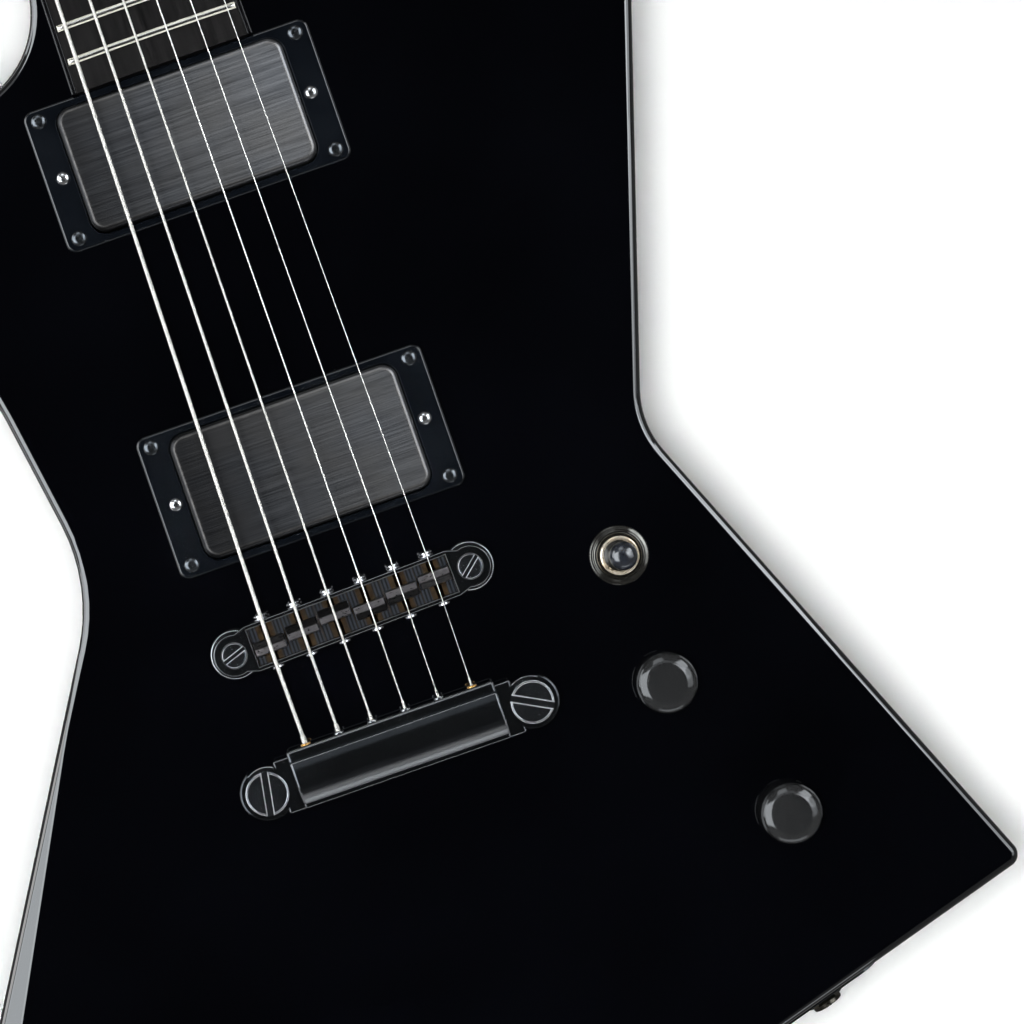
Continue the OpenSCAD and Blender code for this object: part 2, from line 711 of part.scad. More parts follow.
module pickup_ring(h) {
    difference() {
        plate(ring_l, ring_w, ring_corner, h);
        translate([0, 0, -over])
            plate(cover_l + 2 * window_gap, cover_w + 2 * window_gap, cover_corner, h + 2 * over);
        for (sx = [-1, 1]) {
            for (sy = [-1, 1]) translate([sx * ring_screw_x, sy * ring_screw_y, -over])
                cylinder(r = small_screw_r, h = h + 2 * over);
            translate([sx * ear_x, 0, -over]) cylinder(r = height_screw_r, h = h + 2 * over);
            translate([sx * ear_x, 0, -over]) cylinder(r = spring_r + 0.3, h = h - spring_seat + over);
        }
    }
}

module pickup_rings() color([0.05, 0.055, 0.065]) upright() each_pickup() {
    pickup_ring(neck_ring_h);
    pickup_ring(bridge_ring_h);
}

module pickup_cover(ring_h) {
    translate([0, 0, ring_h + cover_proud - pickup_h]) difference() {
        plate(cover_l, cover_w, cover_corner, pickup_h);
        translate([0, 0, -over])
            plate(cover_l - 2 * cover_wall, cover_w - 2 * cover_wall, cover_corner - cover_wall,
                  pickup_h - cover_wall + over);
    }
}

module neck_pickup_cover() color([0.45, 0.44, 0.43]) upright()
    translate([0, neck_pickup_y, body_t]) pickup_cover(neck_ring_h);
module bridge_pickup_cover() color([0.45, 0.44, 0.43]) upright()
    translate([0, bridge_pickup_y, body_t]) pickup_cover(bridge_ring_h);

// Coils under the cover, on a base plate with an ear at each end for the height screws
module pickup_core(ring_h) {
    top = ring_h + cover_proud - cover_wall;
    ear_top = ring_h + cover_proud - pickup_h;
    difference() {
        union() {
            translate([0, 0, ear_top])
                plate(cover_l - 2 * cover_wall - 0.4, cover_w - 2 * cover_wall - 0.4,
                      cover_corner - cover_wall, top - ear_top - 0.05);
            translate([0, 0, ear_top - ear_t]) plate(cover_l - 2, cover_w - 2, 3, ear_t);
            translate([0, 0, ear_top - ear_t]) plate(2 * ear_x + 7.6, 9, 2, ear_t);
        }
        for (sx = [-1, 1]) translate([sx * ear_x, 0, ear_top - ear_t - over])
            cylinder(r = height_screw_r + run_gap, h = ear_t + 2 * over);
    }
}

module neck_pickup_core() color([0.1, 0.08, 0.07]) upright()
    translate([0, neck_pickup_y, body_t]) pickup_core(neck_ring_h);
module bridge_pickup_core() color([0.1, 0.08, 0.07]) upright()
    translate([0, bridge_pickup_y, body_t]) pickup_core(bridge_ring_h);

module pickup_springs(ring_h) {
    bottom = ring_h + cover_proud - pickup_h;
    for (sx = [-1, 1]) translate([sx * ear_x, 0, bottom]) difference() {
        cylinder(r = spring_r, h = ring_h - spring_seat - bottom);
        translate([0, 0, -over]) cylinder(r = height_screw_r + 0.4, h = ring_h - bottom + 2 * over);
    }
}

module neck_pickup_springs() color([0.6, 0.6, 0.6]) upright()
    translate([0, neck_pickup_y, body_t]) pickup_springs(neck_ring_h);
module bridge_pickup_springs() color([0.6, 0.6, 0.6]) upright()
    translate([0, bridge_pickup_y, body_t]) pickup_springs(bridge_ring_h);

module ring_screw_set(h) {
    for (sx = [-1, 1]) for (sy = [-1, 1]) translate([sx * ring_screw_x, sy * ring_screw_y, h])
        screw(small_screw_r, h + 8, 2.3, 1.2);
}

module ring_screws() color([0.08, 0.08, 0.085]) upright() each_pickup() {
    ring_screw_set(neck_ring_h);
    ring_screw_set(bridge_ring_h);
}

module height_screw_set(h) {
    for (sx = [-1, 1]) translate([sx * ear_x, 0, h]) screw(height_screw_r, h + pickup_cavity_d - 6, 2.6, 1.4);
}

module height_screws() color([0.7, 0.7, 0.72]) upright() each_pickup() {
    height_screw_set(neck_ring_h);
    height_screw_set(bridge_ring_h);
}

// ---------------------------------------------------------------- bridge and tailpiece

module bridge_frame() color([0.04, 0.04, 0.045]) upright() bridge_frame_at()
    translate([0, 0, frame_z]) difference() {
        union() {
            linear_extrude(frame_h) polygon([for (s = [-1, 1])
                each [[-s * frame_end.x, s * frame_end.y], [-s * frame_full_x, s * frame_w / 2],
                      [s * frame_full_x, s * frame_w / 2], [s * frame_end.x, s * frame_end.y]]]);
            for (s = [-1, 1]) translate([s * post_span(), 0, 0]) cylinder(r = frame_end_r, h = frame_h);
        }
        translate([-channel_l / 2, -channel_w / 2, frame_floor]) cube([channel_l, channel_w, frame_h]);
        for (s = [-1, 1]) translate([s * post_span(), 0, -over])
            cylinder(r = post_head_r + run_gap, h = frame_h + 2 * over);
        for (i = [0 : 5]) translate([saddle_x(i), -frame_w / 2 - over, saddle_screw_z - frame_z])
            rotate([-90, 0, 0]) cylinder(r = saddle_screw_r, h = frame_w + 2 * over);
    }

function post_span() = post_spread / 2 / cos(bridge_slant);
// Places along the slanted bridge
function saddle_x(i) = bridge_x(i) * cos(bridge_slant) + crest_y[i] * sin(bridge_slant);
function saddle_y(i) = crest_y[i] * cos(bridge_slant) - bridge_x(i) * sin(bridge_slant);

module saddle(i) {
    lean = i < 3 ? -crest_lean : crest_lean;
    bottom = frame_z + frame_floor + rest_gap;
    top = crest_z(i) - body_t;
    half = saddle_l / 2;
    bridge_frame_at() translate([saddle_x(i), saddle_y(i) - lean, 0]) difference() {
        translate([-saddle_w / 2, 0, 0]) rotate([90, 0, 90]) linear_extrude(saddle_w) polygon([
            [-half, bottom], [half, bottom], [half, bottom + saddle_side_h],
            [min(half, lean + crest_t / 2), top - 0.7], [lean + crest_t / 2 - 0.1, top],
            [lean - crest_t / 2 + 0.1, top], [max(-half, lean - crest_t / 2), top - 0.7],
            [-half, bottom + saddle_side_h]]);
        translate([0, -half - over, saddle_screw_z]) rotate([-90, 0, 0])
            cylinder(r = saddle_screw_r + run_gap, h = saddle_l + 2 * over);
    }
}

saddle_col = [0.22, 0.2, 0.19];
module saddle_1() color(saddle_col) upright() saddle(0);
module saddle_2() color(saddle_col) upright() saddle(1);
module saddle_3() color(saddle_col) upright() saddle(2);
module saddle_4() color(saddle_col) upright() saddle(3);
module saddle_5() color(saddle_col) upright() saddle(4);
module saddle_6() color(saddle_col) upright() saddle(5);

module intonation_screws() color([0.75, 0.75, 0.76]) upright() bridge_frame_at()
    for (i = [0 : 5]) translate([saddle_x(i), frame_w / 2, saddle_screw_z]) rotate([-90, 0, 0])
        screw(saddle_screw_r, frame_w + 1.2, 2, 1.6);

module bridge_posts() color([0.1, 0.1, 0.105]) upright()
    for (s = [-1, 1]) translate([s * post_spread / 2, s * post_dy, body_t]) difference() {
        union() {
            translate([0, 0, -bushing_l + 2]) cylinder(r = thread_r, h = bushing_l);
            cylinder(r = thread_r, h = frame_z);
            translate([0, 0, frame_z - wheel_t]) cylinder(r = wheel_r, h = wheel_t);
            translate([0, 0, frame_z]) cylinder(r = post_head_r, h = frame_h + 0.4);
        }
        rotate([0, 0, 35 + s * 30]) translate([-post_head_r - over, -0.6, frame_z + frame_h - 1.2])
            cube([2 * post_head_r + 2 * over, 1.2, 3]);
    }

module stud_bushings() color([0.12, 0.12, 0.125]) upright()
    for (s = [-1, 1]) {
        translate([s * post_spread / 2, s * post_dy, body_t]) bushing();
        translate([s * stud_spread / 2, -stud_y, body_t]) bushing();
    }

module bushing() {
    difference() {
        union() {
            translate([0, 0, -bushing_l]) cylinder(r = bushing_r, h = bushing_l);
            cylinder(r = bushing_r + 1.2, h = 0.8);
        }
        translate([0, 0, -bushing_l + 2]) cylinder(r = thread_r, h = bushing_l + over);
    }
}

module tailpiece() color([0.04, 0.04, 0.045]) upright() difference() {
    translate([0, 0, body_t + tail_z]) {
        translate([-tail_bar / 2, 0, 0]) rotate([90, 0, 90]) linear_extrude(tail_bar)
            polygon(rounded([[tail_rear, 0, 1], [tail_front, 0, 1],
                             [tail_front, tail_ledge.y, 1.2],
                             [tail_front - tail_ledge.x, tail_ledge.y, 0],
                             [tail_front - tail_ledge.x - 0.5, tail_h - 1.4, 0.6],
                             [tail_front - tail_w / 2, tail_h, 14],
                             [tail_rear + 2.7, tail_h - 1.2, 0],
                             [tail_rear, tail_h - 3, 1]]));
        for (s = [-1, 1]) {
            translate([s * stud_spread / 2, -stud_y, 0]) cylinder(r = tail_lug_r - 2, h = tail_lug_t);
            translate([s > 0 ? tail_bar / 2 - 2 : -stud_spread / 2, tail_rear, 0])
                cube([stud_spread / 2 - tail_bar / 2 + 2, tail_w - 1.5, tail_lug_t]);
        }
    }
    for (s = [-1, 1]) translate([s * stud_spread / 2, -stud_y, body_t]) {
        cylinder(r = thread_r + run_gap, h = 30);
        translate([-thread_r - run_gap, 0, 0]) cube([2 * (thread_r + run_gap), 20, 30]);
    }
    for (i = [0 : 5]) translate([bridge_x(i), 0, body_t + exit_z]) rotate([90, 0, 0]) {
        cylinder(r = string_hole_r, h = stud_y + 20);
        translate([0, 0, -tail_rear - ball_seat]) cylinder(r = ball_r + 0.15, h = 20);
    }
}

module tailpiece_studs() color([0.05, 0.05, 0.055]) upright()
    for (s = [-1, 1]) translate([s * stud_spread / 2, -stud_y, body_t]) difference() {
        union() {
            translate([0, 0, -bushing_l + 2]) cylinder(r = thread_r, h = bushing_l + tail_z + tail_lug_t);
            translate([0, 0, tail_z - 1.8]) cylinder(r = stud_head_r + 0.8, h = 1.8);
            translate([0, 0, tail_z + tail_lug_t]) cylinder(r = stud_head_r, h = 3);
        }
        rotate([0, 0, 45 - s * 40]) translate([-10, -1.35, tail_z + tail_lug_t + 1.2]) cube([20, 2.7, 4]);
    }

// ---------------------------------------------------------------- strings

// A string's crest point, its bend behind the saddle and its way to the tuner
function over_crest(i) = [bridge_x(i), crest_y[i], crest_z(i) + string_d[i] / 2 + crest_gap];
function at_nut(i) = neck_point([nut_x(i), nut_y + 0.5, nut_height(i)]);
function behind_crest(i) =
    let (c = over_crest(i), n = at_nut(i)) c - (n - c) * bend_back / (n.y - c.y);
function at_post(i) =
    head_point([post_at(i).x + post_r + string_d[i] / 2 + wrap_gap, post_at(i).y, wrap_z]);

function string_path(i) = [
    [bridge_x(i), tail_rear + ball_seat - 2.5, body_t + exit_z],
    [bridge_x(i), tail_front - 0.3, body_t + exit_z],
    behind_crest(i), at_nut(i),
    neck_point([nut_x(i), nut_y + nut_t - 0.5, nut_height(i) - 0.08]),
    at_post(i)
];

module string(i) {
    skin([for (p = string_path(i))
        [for (k = [0 : string_sides - 1])
            p + string_d[i] / 2 * [cos(360 * k / string_sides), 0, -sin(360 * k / string_sides)]]]);
    translate([bridge_x(i), tail_rear + ball_seat, body_t + exit_z]) rotate([90, 0, 0])
        cylinder(r = ball_r, h = 3.4);
}

module wound_strings() color([0.72, 0.7, 0.68]) upright() for (i = [0 : 2]) string(i);
module plain_strings() color([0.8, 0.8, 0.82]) upright() for (i = [3 : 5]) string(i);

// ---------------------------------------------------------------- controls

module switch_lever() color([0.05, 0.05, 0.05]) upright()
    translate([switch_at.x, switch_at.y, pivot_z]) {
        sphere(r = lever_ball_r);
        translate([0, 0, -7]) cylinder(r = 1.3, h = 7);
        cylinder(r1 = 2, r2 = 1.7, h = 14);
        translate([0, 0, 9]) rotate_extrude() polygon(rounded([
            [0, 0, 0], [2.6, 0, 0.5], [3.2, 4, 3], [4.2, 9, 3], [4.1, 12.6, 2.8], [0, 13.4, 0]]));
    }

module switch_housing() color([0.75, 0.75, 0.76]) upright()
    translate([switch_at.x, switch_at.y, body_t]) difference() {
        union() {
            translate([0, 0, -top_wall]) cylinder(r = barrel_r, h = top_wall + barrel_h);
            translate([-switch_box.x / 2, -switch_box.y / 2, -top_wall - switch_box.z])
                cube(switch_box);
        }
        translate([0, 0, -12]) cylinder(r = lever_ball_r + run_gap, h = 20 + barrel_h);
    }

module switch_nut() color([0.3, 0.3, 0.31]) upright()
    translate([switch_at.x, switch_at.y, body_t]) difference() {
        cylinder(r = switch_nut_r, h = 2.6);
        translate([0, 0, -over]) cylinder(r = barrel_r, h = 2.6 + 2 * over);
    }

module volume_knob(i) {
    translate([knob_at[i].x, knob_at[i].y, body_t]) {
        rotate_extrude() polygon(rounded([
            [0, pot_bush_h + 1, 0], [pot_bush_r + 3, pot_bush_h + 1, 0],
            [pot_bush_r + 3, knob_skirt, 0], [knob_r, knob_skirt, 0.4],
            [knob_r - 0.2, knob_h, 2.4], [knob_r - 4, knob_h + 0.5, 4], [0, knob_h - 0.6, 0]]));
        translate([0, 0, -top_wall - 3]) cylinder(r = pot_shaft_r, h = top_wall + pot_bush_h + 6);
    }
}

module volume_knob_1() color([0.06, 0.06, 0.065]) upright() volume_knob(0);
module volume_knob_2() color([0.06, 0.06, 0.065]) upright() volume_knob(1);

module pots() color([0.6, 0.6, 0.6]) upright() for (k = knob_at)
    translate([k.x, k.y, body_t]) difference() {
        union() {
            translate([0, 0, -top_wall - pot_h]) cylinder(r = pot_r, h = pot_h);
            translate([0, 0, -top_wall]) cylinder(r = pot_bush_r, h = top_wall + pot_bush_h);
        }
        translate([0, 0, -top_wall - 3.1]) cylinder(r = pot_shaft_r + run_gap, h = 30);
    }

module pot_nuts() color([0.7, 0.7, 0.7]) upright() for (k = knob_at)
    translate([k.x, k.y, body_t]) difference() {
        cylinder(r = pot_bush_r + 2.2, h = pot_nut_t, $fn = 6);
        translate([0, 0, -over]) cylinder(r = pot_bush_r, h = pot_nut_t + 2 * over);
    }

module output_jack() color([0.7, 0.7, 0.7]) upright() rear_edge(jack_x) difference() {
    union() {
        translate([0, 0, -jack_body_l]) cylinder(r = jack_body_r, h = jack_body_l);
        cylinder(r = jack_bush_r, h = jack_bush_h);
    }
    translate([0, 0, -jack_body_l + 2]) cylinder(r = jack_bore_r, h = jack_body_l + jack_bush_h);
}

module jack_plate() color([0.05, 0.05, 0.055]) upright() rear_edge(jack_x) difference() {
    plate(jack_plate_size.x, jack_plate_size.y, 6, jack_plate_size.z);
    translate([0, 0, -over]) cylinder(r = jack_bush_r, h = jack_plate_size.z + 2 * over);
    for (s = [-1, 1]) translate([s * jack_screw_x, 0, -over])
        cylinder(r = small_screw_r, h = jack_plate_size.z + 2 * over);
}

module jack_nut() color([0.7, 0.7, 0.7]) upright() rear_edge(jack_x)
    translate([0, 0, jack_plate_size.z]) difference() {
        cylinder(r = jack_bush_r + 1.6, h = jack_nut_t, $fn = 6);
        translate([0, 0, -over]) cylinder(r = jack_bush_r, h = jack_nut_t + 2 * over);
    }

// ---------------------------------------------------------------- tuners

module tuner_housings() color([0.1, 0.1, 0.105]) upright() for (i = [0 : 5]) tuner_frame(i)
    difference() {
        translate([-8, -8, -head_t - housing_h]) cube([key_x + 8 + 5.4, 17, housing_h]);
        translate([0, 0, key_z - gear_h / 2 - 0.2]) cylinder(r = gear_r + 0.3, h = gear_h + 0.4);
        translate([0, 0, key_z - gear_h / 2 - 2]) cylinder(r = post_r + run_gap, h = head_t + housing_h);
        translate([key_x, -worm_l / 2 - 0.2, key_z]) rotate([-90, 0, 0]) {
            cylinder(r = worm_r + 0.3, h = worm_l + 0.4);
            cylinder(r = key_r + run_gap, h = worm_l + 20);
        }
    }

module tuner_bushings() color([0.1, 0.1, 0.105]) upright() for (i = [0 : 5]) tuner_frame(i)
    difference() {
        union() {
            translate([0, 0, -head_t]) cylinder(r = bush_r, h = head_t);
            cylinder(r = bush_flange.x, h = bush_flange.y, $fn = 6);
            cylinder(r = bush_flange.x - 1.2, h = bush_flange.y + 1);
        }
        translate([0, 0, -head_t - over]) cylinder(r = post_r + run_gap, h = head_t + 20);
    }

// Post, gear and the turns of string wound on it
module tuner_post(i) {
    wire = string_d[i] / 2;
    tuner_frame(i) {
        difference() {
            union() {
                translate([0, 0, key_z - gear_h / 2 - 1.8])
                    cylinder(r = post_r, h = post_h - key_z + gear_h / 2 + 1.8 - 0.6);
                translate([0, 0, post_h - 0.6]) cylinder(r1 = post_r, r2 = post_r - 0.6, h = 0.6);
                translate([0, 0, key_z - gear_h / 2]) cylinder(r = gear_r, h = gear_h);
            }
            translate([-10, 0, post_h - 4]) rotate([0, 90, 0]) cylinder(r = 0.9, h = 20);
        }
        for (k = [0 : 2]) translate([0, 0, wrap_z - wire - wrap_gap - wire - k * 1.9 * wire])
            rotate_extrude() translate([post_r + 0.8 * wire, 0]) circle(r = wire, $fn = 24);
    }
}

module tuner_key(i) {
    reach = post_edge + button_gap;
    tuner_frame(i) translate([key_x, 0, key_z]) {
        translate([0, -worm_l / 2, 0]) rotate([-90, 0, 0]) cylinder(r = worm_r, h = worm_l);
        rotate([-90, 0, 0]) cylinder(r = key_r, h = reach + 4);
        translate([0, reach - 1.5, 0]) rotate([-90, 0, 0]) cylinder(r = key_r + 1.2, h = 1.6);
        translate([0, reach + button_l / 2, -button_t / 2])
            linear_extrude(button_t) polygon(rounded([
                [-button_w / 2 + 4, -button_l / 2, 3], [button_w / 2 - 4, -button_l / 2, 3],
                [button_w / 2, 1, 5], [button_w / 2 - 2, button_l / 2, 5],
                [-button_w / 2 + 2, button_l / 2, 5], [-button_w / 2, 1, 5]]));
    }
}

tuner_col = [0.08, 0.08, 0.085];
module tuner_key_1() color(tuner_col) upright() tuner_key(0);
module tuner_key_2() color(tuner_col) upright() tuner_key(1);
module tuner_key_3() color(tuner_col) upright() tuner_key(2);
module tuner_key_4() color(tuner_col) upright() tuner_key(3);
module tuner_key_5() color(tuner_col) upright() tuner_key(4);
module tuner_key_6() color(tuner_col) upright() tuner_key(5);
module tuner_post_1() color(tuner_col) upright() tuner_post(0);
module tuner_post_2() color(tuner_col) upright() tuner_post(1);
module tuner_post_3() color(tuner_col) upright() tuner_post(2);
module tuner_post_4() color(tuner_col) upright() tuner_post(3);
module tuner_post_5() color(tuner_col) upright() tuner_post(4);
module tuner_post_6() color(tuner_col) upright() tuner_post(5);

body();
neck();
fingerboard();
fingerboard_binding();
frets();
nut();
truss_rod();
truss_rod_cover();
rear_cover();
battery();
cover_screws();
strap_buttons();
strap_button_screws();
pickup_rings();
neck_pickup_cover();
bridge_pickup_cover();
neck_pickup_core();
bridge_pickup_core();
ring_screws();
height_screws();
neck_pickup_springs();
bridge_pickup_springs();
bridge_frame();
saddle_1();
saddle_2();
saddle_3();
saddle_4();
saddle_5();
saddle_6();
intonation_screws();
bridge_posts();
tailpiece();
tailpiece_studs();
stud_bushings();
wound_strings();
plain_strings();
switch_lever();
switch_housing();
switch_nut();
volume_knob_1();
volume_knob_2();
pots();
pot_nuts();
output_jack();
jack_plate();
jack_nut();
tuner_key_1();
tuner_key_2();
tuner_key_3();
tuner_key_4();
tuner_key_5();
tuner_key_6();
tuner_post_1();
tuner_post_2();
tuner_post_3();
tuner_post_4();
tuner_post_5();
tuner_post_6();
tuner_housings();
tuner_bushings();
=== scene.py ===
from math import atan2, ceil, cos, exp, hypot, pi, radians, sin, sqrt, tan

import bmesh
import bpy
from mathutils import Matrix, Vector
from mathutils.kdtree import KDTree


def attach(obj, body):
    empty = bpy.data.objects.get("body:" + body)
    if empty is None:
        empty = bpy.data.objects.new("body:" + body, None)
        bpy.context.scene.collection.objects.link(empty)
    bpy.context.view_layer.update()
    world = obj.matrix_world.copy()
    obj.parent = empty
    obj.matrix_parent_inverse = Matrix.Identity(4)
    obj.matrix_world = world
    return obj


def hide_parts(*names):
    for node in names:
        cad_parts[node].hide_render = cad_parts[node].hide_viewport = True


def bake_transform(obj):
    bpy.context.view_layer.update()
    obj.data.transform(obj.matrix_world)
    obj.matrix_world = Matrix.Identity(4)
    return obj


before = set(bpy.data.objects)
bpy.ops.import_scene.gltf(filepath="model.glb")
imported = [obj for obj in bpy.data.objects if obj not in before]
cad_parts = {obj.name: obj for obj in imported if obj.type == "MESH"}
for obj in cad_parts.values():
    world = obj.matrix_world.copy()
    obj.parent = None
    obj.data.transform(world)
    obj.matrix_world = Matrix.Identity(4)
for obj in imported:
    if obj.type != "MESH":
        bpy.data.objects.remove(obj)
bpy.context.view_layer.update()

# ---- sizes, as the CAD has them
# The drawing lies face up, in millimetres: x to the treble side, y to the headstock and z out
# of the face. DRAW stands it up in the row's frame, in metres.
MM = 0.001
DRAW = Matrix(((MM, 0, 0, 0), (0, 0, -MM, 0), (0, MM, 0, 0), (0, 0, 0, 1)))
BODY_T = 44
JOINT_Y = 212
PITCH = radians(2.2)
TILT = radians(12)
SCALE = 628.65
SETBACK = 4
NUT_W, NUT_T = 42, 5
BOARD_END_W, BOARD_END_Y = 56.6, 171
BOARD_T, BOARD_R = 6, 305
BINDING = 1.5
FRETS, FRET_W = 22, 2.3
NECK_D, NECK_SWELL, HEEL_D, HEEL_LEN = 14, 2.5, 30, 62
HEAD_T = 14
BRIDGE_SPREAD, NUT_SPREAD = 52, 34.5
STRING_D = [1.17, 0.91, 0.66, 0.43, 0.33, 0.25]
CREST_Y = [-2.5, -1.1, 0.3, -0.2, 1.0, 2.1]
CREST_H, CREST_GAP, BEND_BACK = 17.7, 0.2, 3.35
EXIT_Z, TAIL_REAR, TAIL_FRONT = 8.6, -50.7, -33.0
POST_SPREAD, SLANT = 74, radians(1.58)
FRAME_Z, FRAME_H, FRAME_W = 8, 7, 14
STUD_SPREAD, STUD_Y = 82.5, 42.7
COVER_L, COVER_W, COVER_CORNER, COVER_PROUD, PICKUP_H = 70.4, 38.4, 4.5, 3.4, 14.4
RING_L, RING_W, RING_SCREW_X, RING_SCREW_Y = 89, 44, 40.25, 18.3
PICKUPS = {"neck": (148.9, 4.5), "bridge": (46.5, 9)}
EAR_X, SPRING_SEAT = 38.8, 3
SWITCH = (80.3, -10.8)
KNOBS = [(80.5, -50.5), (102.5, -98.8)]
POST_R, POST_H = 3, 18
WRAP_Z = 9

REAR_Y = (BOARD_END_Y - JOINT_Y) / cos(PITCH)
NUT_Y = (SETBACK + SCALE - JOINT_Y) / cos(PITCH)
HEAD_Y = NUT_Y + NUT_T
TAPER = (BOARD_END_W - NUT_W) / 2 / (NUT_Y - REAR_Y)

T = Matrix.Translation
R = Matrix.Rotation
QUARTER = pi / 2
NECK = T((0, JOINT_Y, BODY_T)) @ R(-PITCH, 4, "X")
HEAD = NECK @ T((0, HEAD_Y, 0)) @ R(-TILT, 4, "X")
BRIDGE = T((0, 0, BODY_T)) @ R(SLANT, 4, "Z")

BODY_OUTLINE = [
    (165.2, -135.6, 4), (99.5, 23.9, 28), (162, 217, 7), (30.8, 174.1, 26), (30.8, 212, 0.6),
    (-30.8, 212, 0.6), (-30.8, 163.2, 30), (-112, 198, 6), (-80.6, 97, 130), (-70.8, 32.3, 55),
    (-245, -254, 9)]
CAVITY = [(62, 4, 8), (62, -66, 12), (82, -134, 9), (120, -128, 9), (136, -98, 9), (94.6, 4, 8)]
ARM_FROM, ARM_TO, ARM_SLOPE = Vector((-79, 19)), Vector((-131.2, -79.5)), radians(38)
REAR_ANGLE = atan2(-135.6 + 254, 165.2 + 245)

POST_STEP = Vector((NUT_SPREAD / 5, 25.6))
POST_OFFSET = POST_R + STRING_D[0] / 2 + 0.05
EDGE_DIR = POST_STEP.normalized()
EDGE_OUT = Vector((-EDGE_DIR.y, EDGE_DIR.x))


def post_at(i):
    return Vector((-NUT_SPREAD / 2 - POST_OFFSET + i * POST_STEP.x, 33 + i * POST_STEP.y))


def tuner(i):
    p = post_at(i)
    return HEAD @ T((p.x, p.y, 0)) @ R(atan2(EDGE_DIR.y, EDGE_DIR.x), 4, "Z")


def rear_edge(x):
    y = -254 + (x + 245) * tan(REAR_ANGLE)
    return T((x, y, BODY_T / 2)) @ R(REAR_ANGLE, 4, "Z") @ R(QUARTER, 4, "X")


def half_board(y):
    return BOARD_END_W / 2 - TAPER * (y - REAR_Y)


def bridge_x(i):
    return (i / 5 - 0.5) * BRIDGE_SPREAD


def nut_x(i):
    return (i / 5 - 0.5) * NUT_SPREAD


def crest_z(i):
    return BODY_T + CREST_H - bridge_x(i) ** 2 / 2 / BOARD_R


def fret_y(n):
    return (SETBACK + SCALE * 2 ** (-n / 12) - JOINT_Y) / cos(PITCH)


# ---- outlines

def smooth(t):
    t = max(0, min(1, t))
    return t * t * (3 - 2 * t)


def corner_arc(a, b, c, step):
    """The arc at b, an (x, y, radius) corner, between the lines to a and c."""
    a, b, c, r = Vector(a[:2]), Vector(b[:2]), Vector(c[:2]), b[2]
    if r <= 0:
        return [b]
    u, v = (a - b).normalized(), (c - b).normalized()
    half = u.angle(v) / 2
    centre = b + (u + v).normalized() * (r / sin(half))
    start = b + u * (r / tan(half)) - centre
    end = b + v * (r / tan(half)) - centre
    first = atan2(start.y, start.x)
    turn = (atan2(end.y, end.x) - first + 3 * pi) % (2 * pi) - pi
    steps = max(2, ceil(abs(turn) / step - 1e-6))
    return [centre + r * Vector((cos(first + turn * k / steps),
                                 sin(first + turn * k / steps))) for k in range(steps + 1)]


def rounded(corners, step=radians(5)):
    n = len(corners)
    return [p for i in range(n)
            for p in corner_arc(corners[i - 1], corners[i], corners[(i + 1) % n], step)]


def grown(corners, d):
    """The corners moved outwards by d, for corners listed anticlockwise."""
    n, out = len(corners), []
    for i in range(n):
        a, b, c = (Vector(corners[j % n][:2]) for j in (i - 1, i, i + 1))
        p = Vector((b.y - a.y, a.x - b.x)).normalized()
        q = Vector((c.y - b.y, b.x - c.x)).normalized()
        at = b + d * (p + q) / (1 + p.dot(q))
        r = corners[i][2]
        out.append((at.x, at.y, r and r + (d if p.cross(q) > 0 else -d)))
    return out


def box_corners(length, width, r):
    return [(-length / 2, -width / 2, r), (length / 2, -width / 2, r),
            (length / 2, width / 2, r), (-length / 2, width / 2, r)]


def soft(points):
    """An open line of (r, z, corner radius) with its inner corners rounded."""
    out = [Vector(points[0][:2])]
    for a, b, c in zip(points, points[1:], points[2:]):
        out += corner_arc(a, b, c, radians(12))
    return out + [Vector(points[-1][:2])]


# ---- meshes

class Shell:
    """Closed surfaces in the drawing's millimetres."""

    def __init__(self):
        self.verts, self.faces = [], []

    def add(self, verts, faces, at=None):
        base = len(self.verts)
        self.verts += [at @ Vector(v) if at is not None else Vector(v) for v in verts]
        self.faces += [[base + k for k in f] for f in faces]
        return self

    def join(self, other, at=None):
        return self.add(other.verts, other.faces, at)


def loft(rings, wrap=False, at=None):
    """Faces from ring to ring, closed at the two ends, or round to the first ring."""
    n, count, faces = len(rings[0]), len(rings), []
    for r in range(count if wrap else count - 1):
        a, b = r * n, (r + 1) % count * n
        faces += [[a + k, a + (k + 1) % n, b + (k + 1) % n, b + k] for k in range(n)]
    if not wrap:
        faces += [list(range(n))[::-1], [(count - 1) * n + k for k in range(n)]]
    return Shell().add([p for ring in rings for p in ring], faces, at)


def copies(shell, places):
    """One Shell with the shell at each of the places."""
    out = Shell()
    for at in places:
        out.join(shell, at)
    return out


def angles(steps, turn=2 * pi):
    """The angles at steps equal steps of a turn, with both its ends."""
    return [turn * k / steps for k in range(steps + 1)]


def lathe(profile, n, at=None, knurl=None):
    """profile: (r, z) pairs. knurl: (z from, z to, depth), a ridge on every second point."""
    rings = []
    for r, z in profile:
        depth = knurl[2] if knurl and knurl[0] <= z <= knurl[1] else 0
        rings.append([((r - depth * (k % 2)) * cos(a), (r - depth * (k % 2)) * sin(a), z)
                      for k, a in enumerate(angles(n)[:-1])])
    return loft(rings, at=at)


def flat_ring(points, z):
    return [(p.x, p.y, z) for p in points]


def level(corners, z, out=0, step=radians(7)):
    """A ring at height z along the rounded corners, moved outwards by out."""
    return flat_ring(rounded(grown(corners, out), step), z)


def rim(corners, z, r, steps, down=1, inwards=1, step=radians(7)):
    """Levels that round a plate's edge of radius r, from its side on to its face at z."""
    return [level(corners, z - down * r * (1 - sin(a)), -inwards * r * (1 - cos(a)), step)
            for a in (angles(steps, QUARTER) if r else [0])]


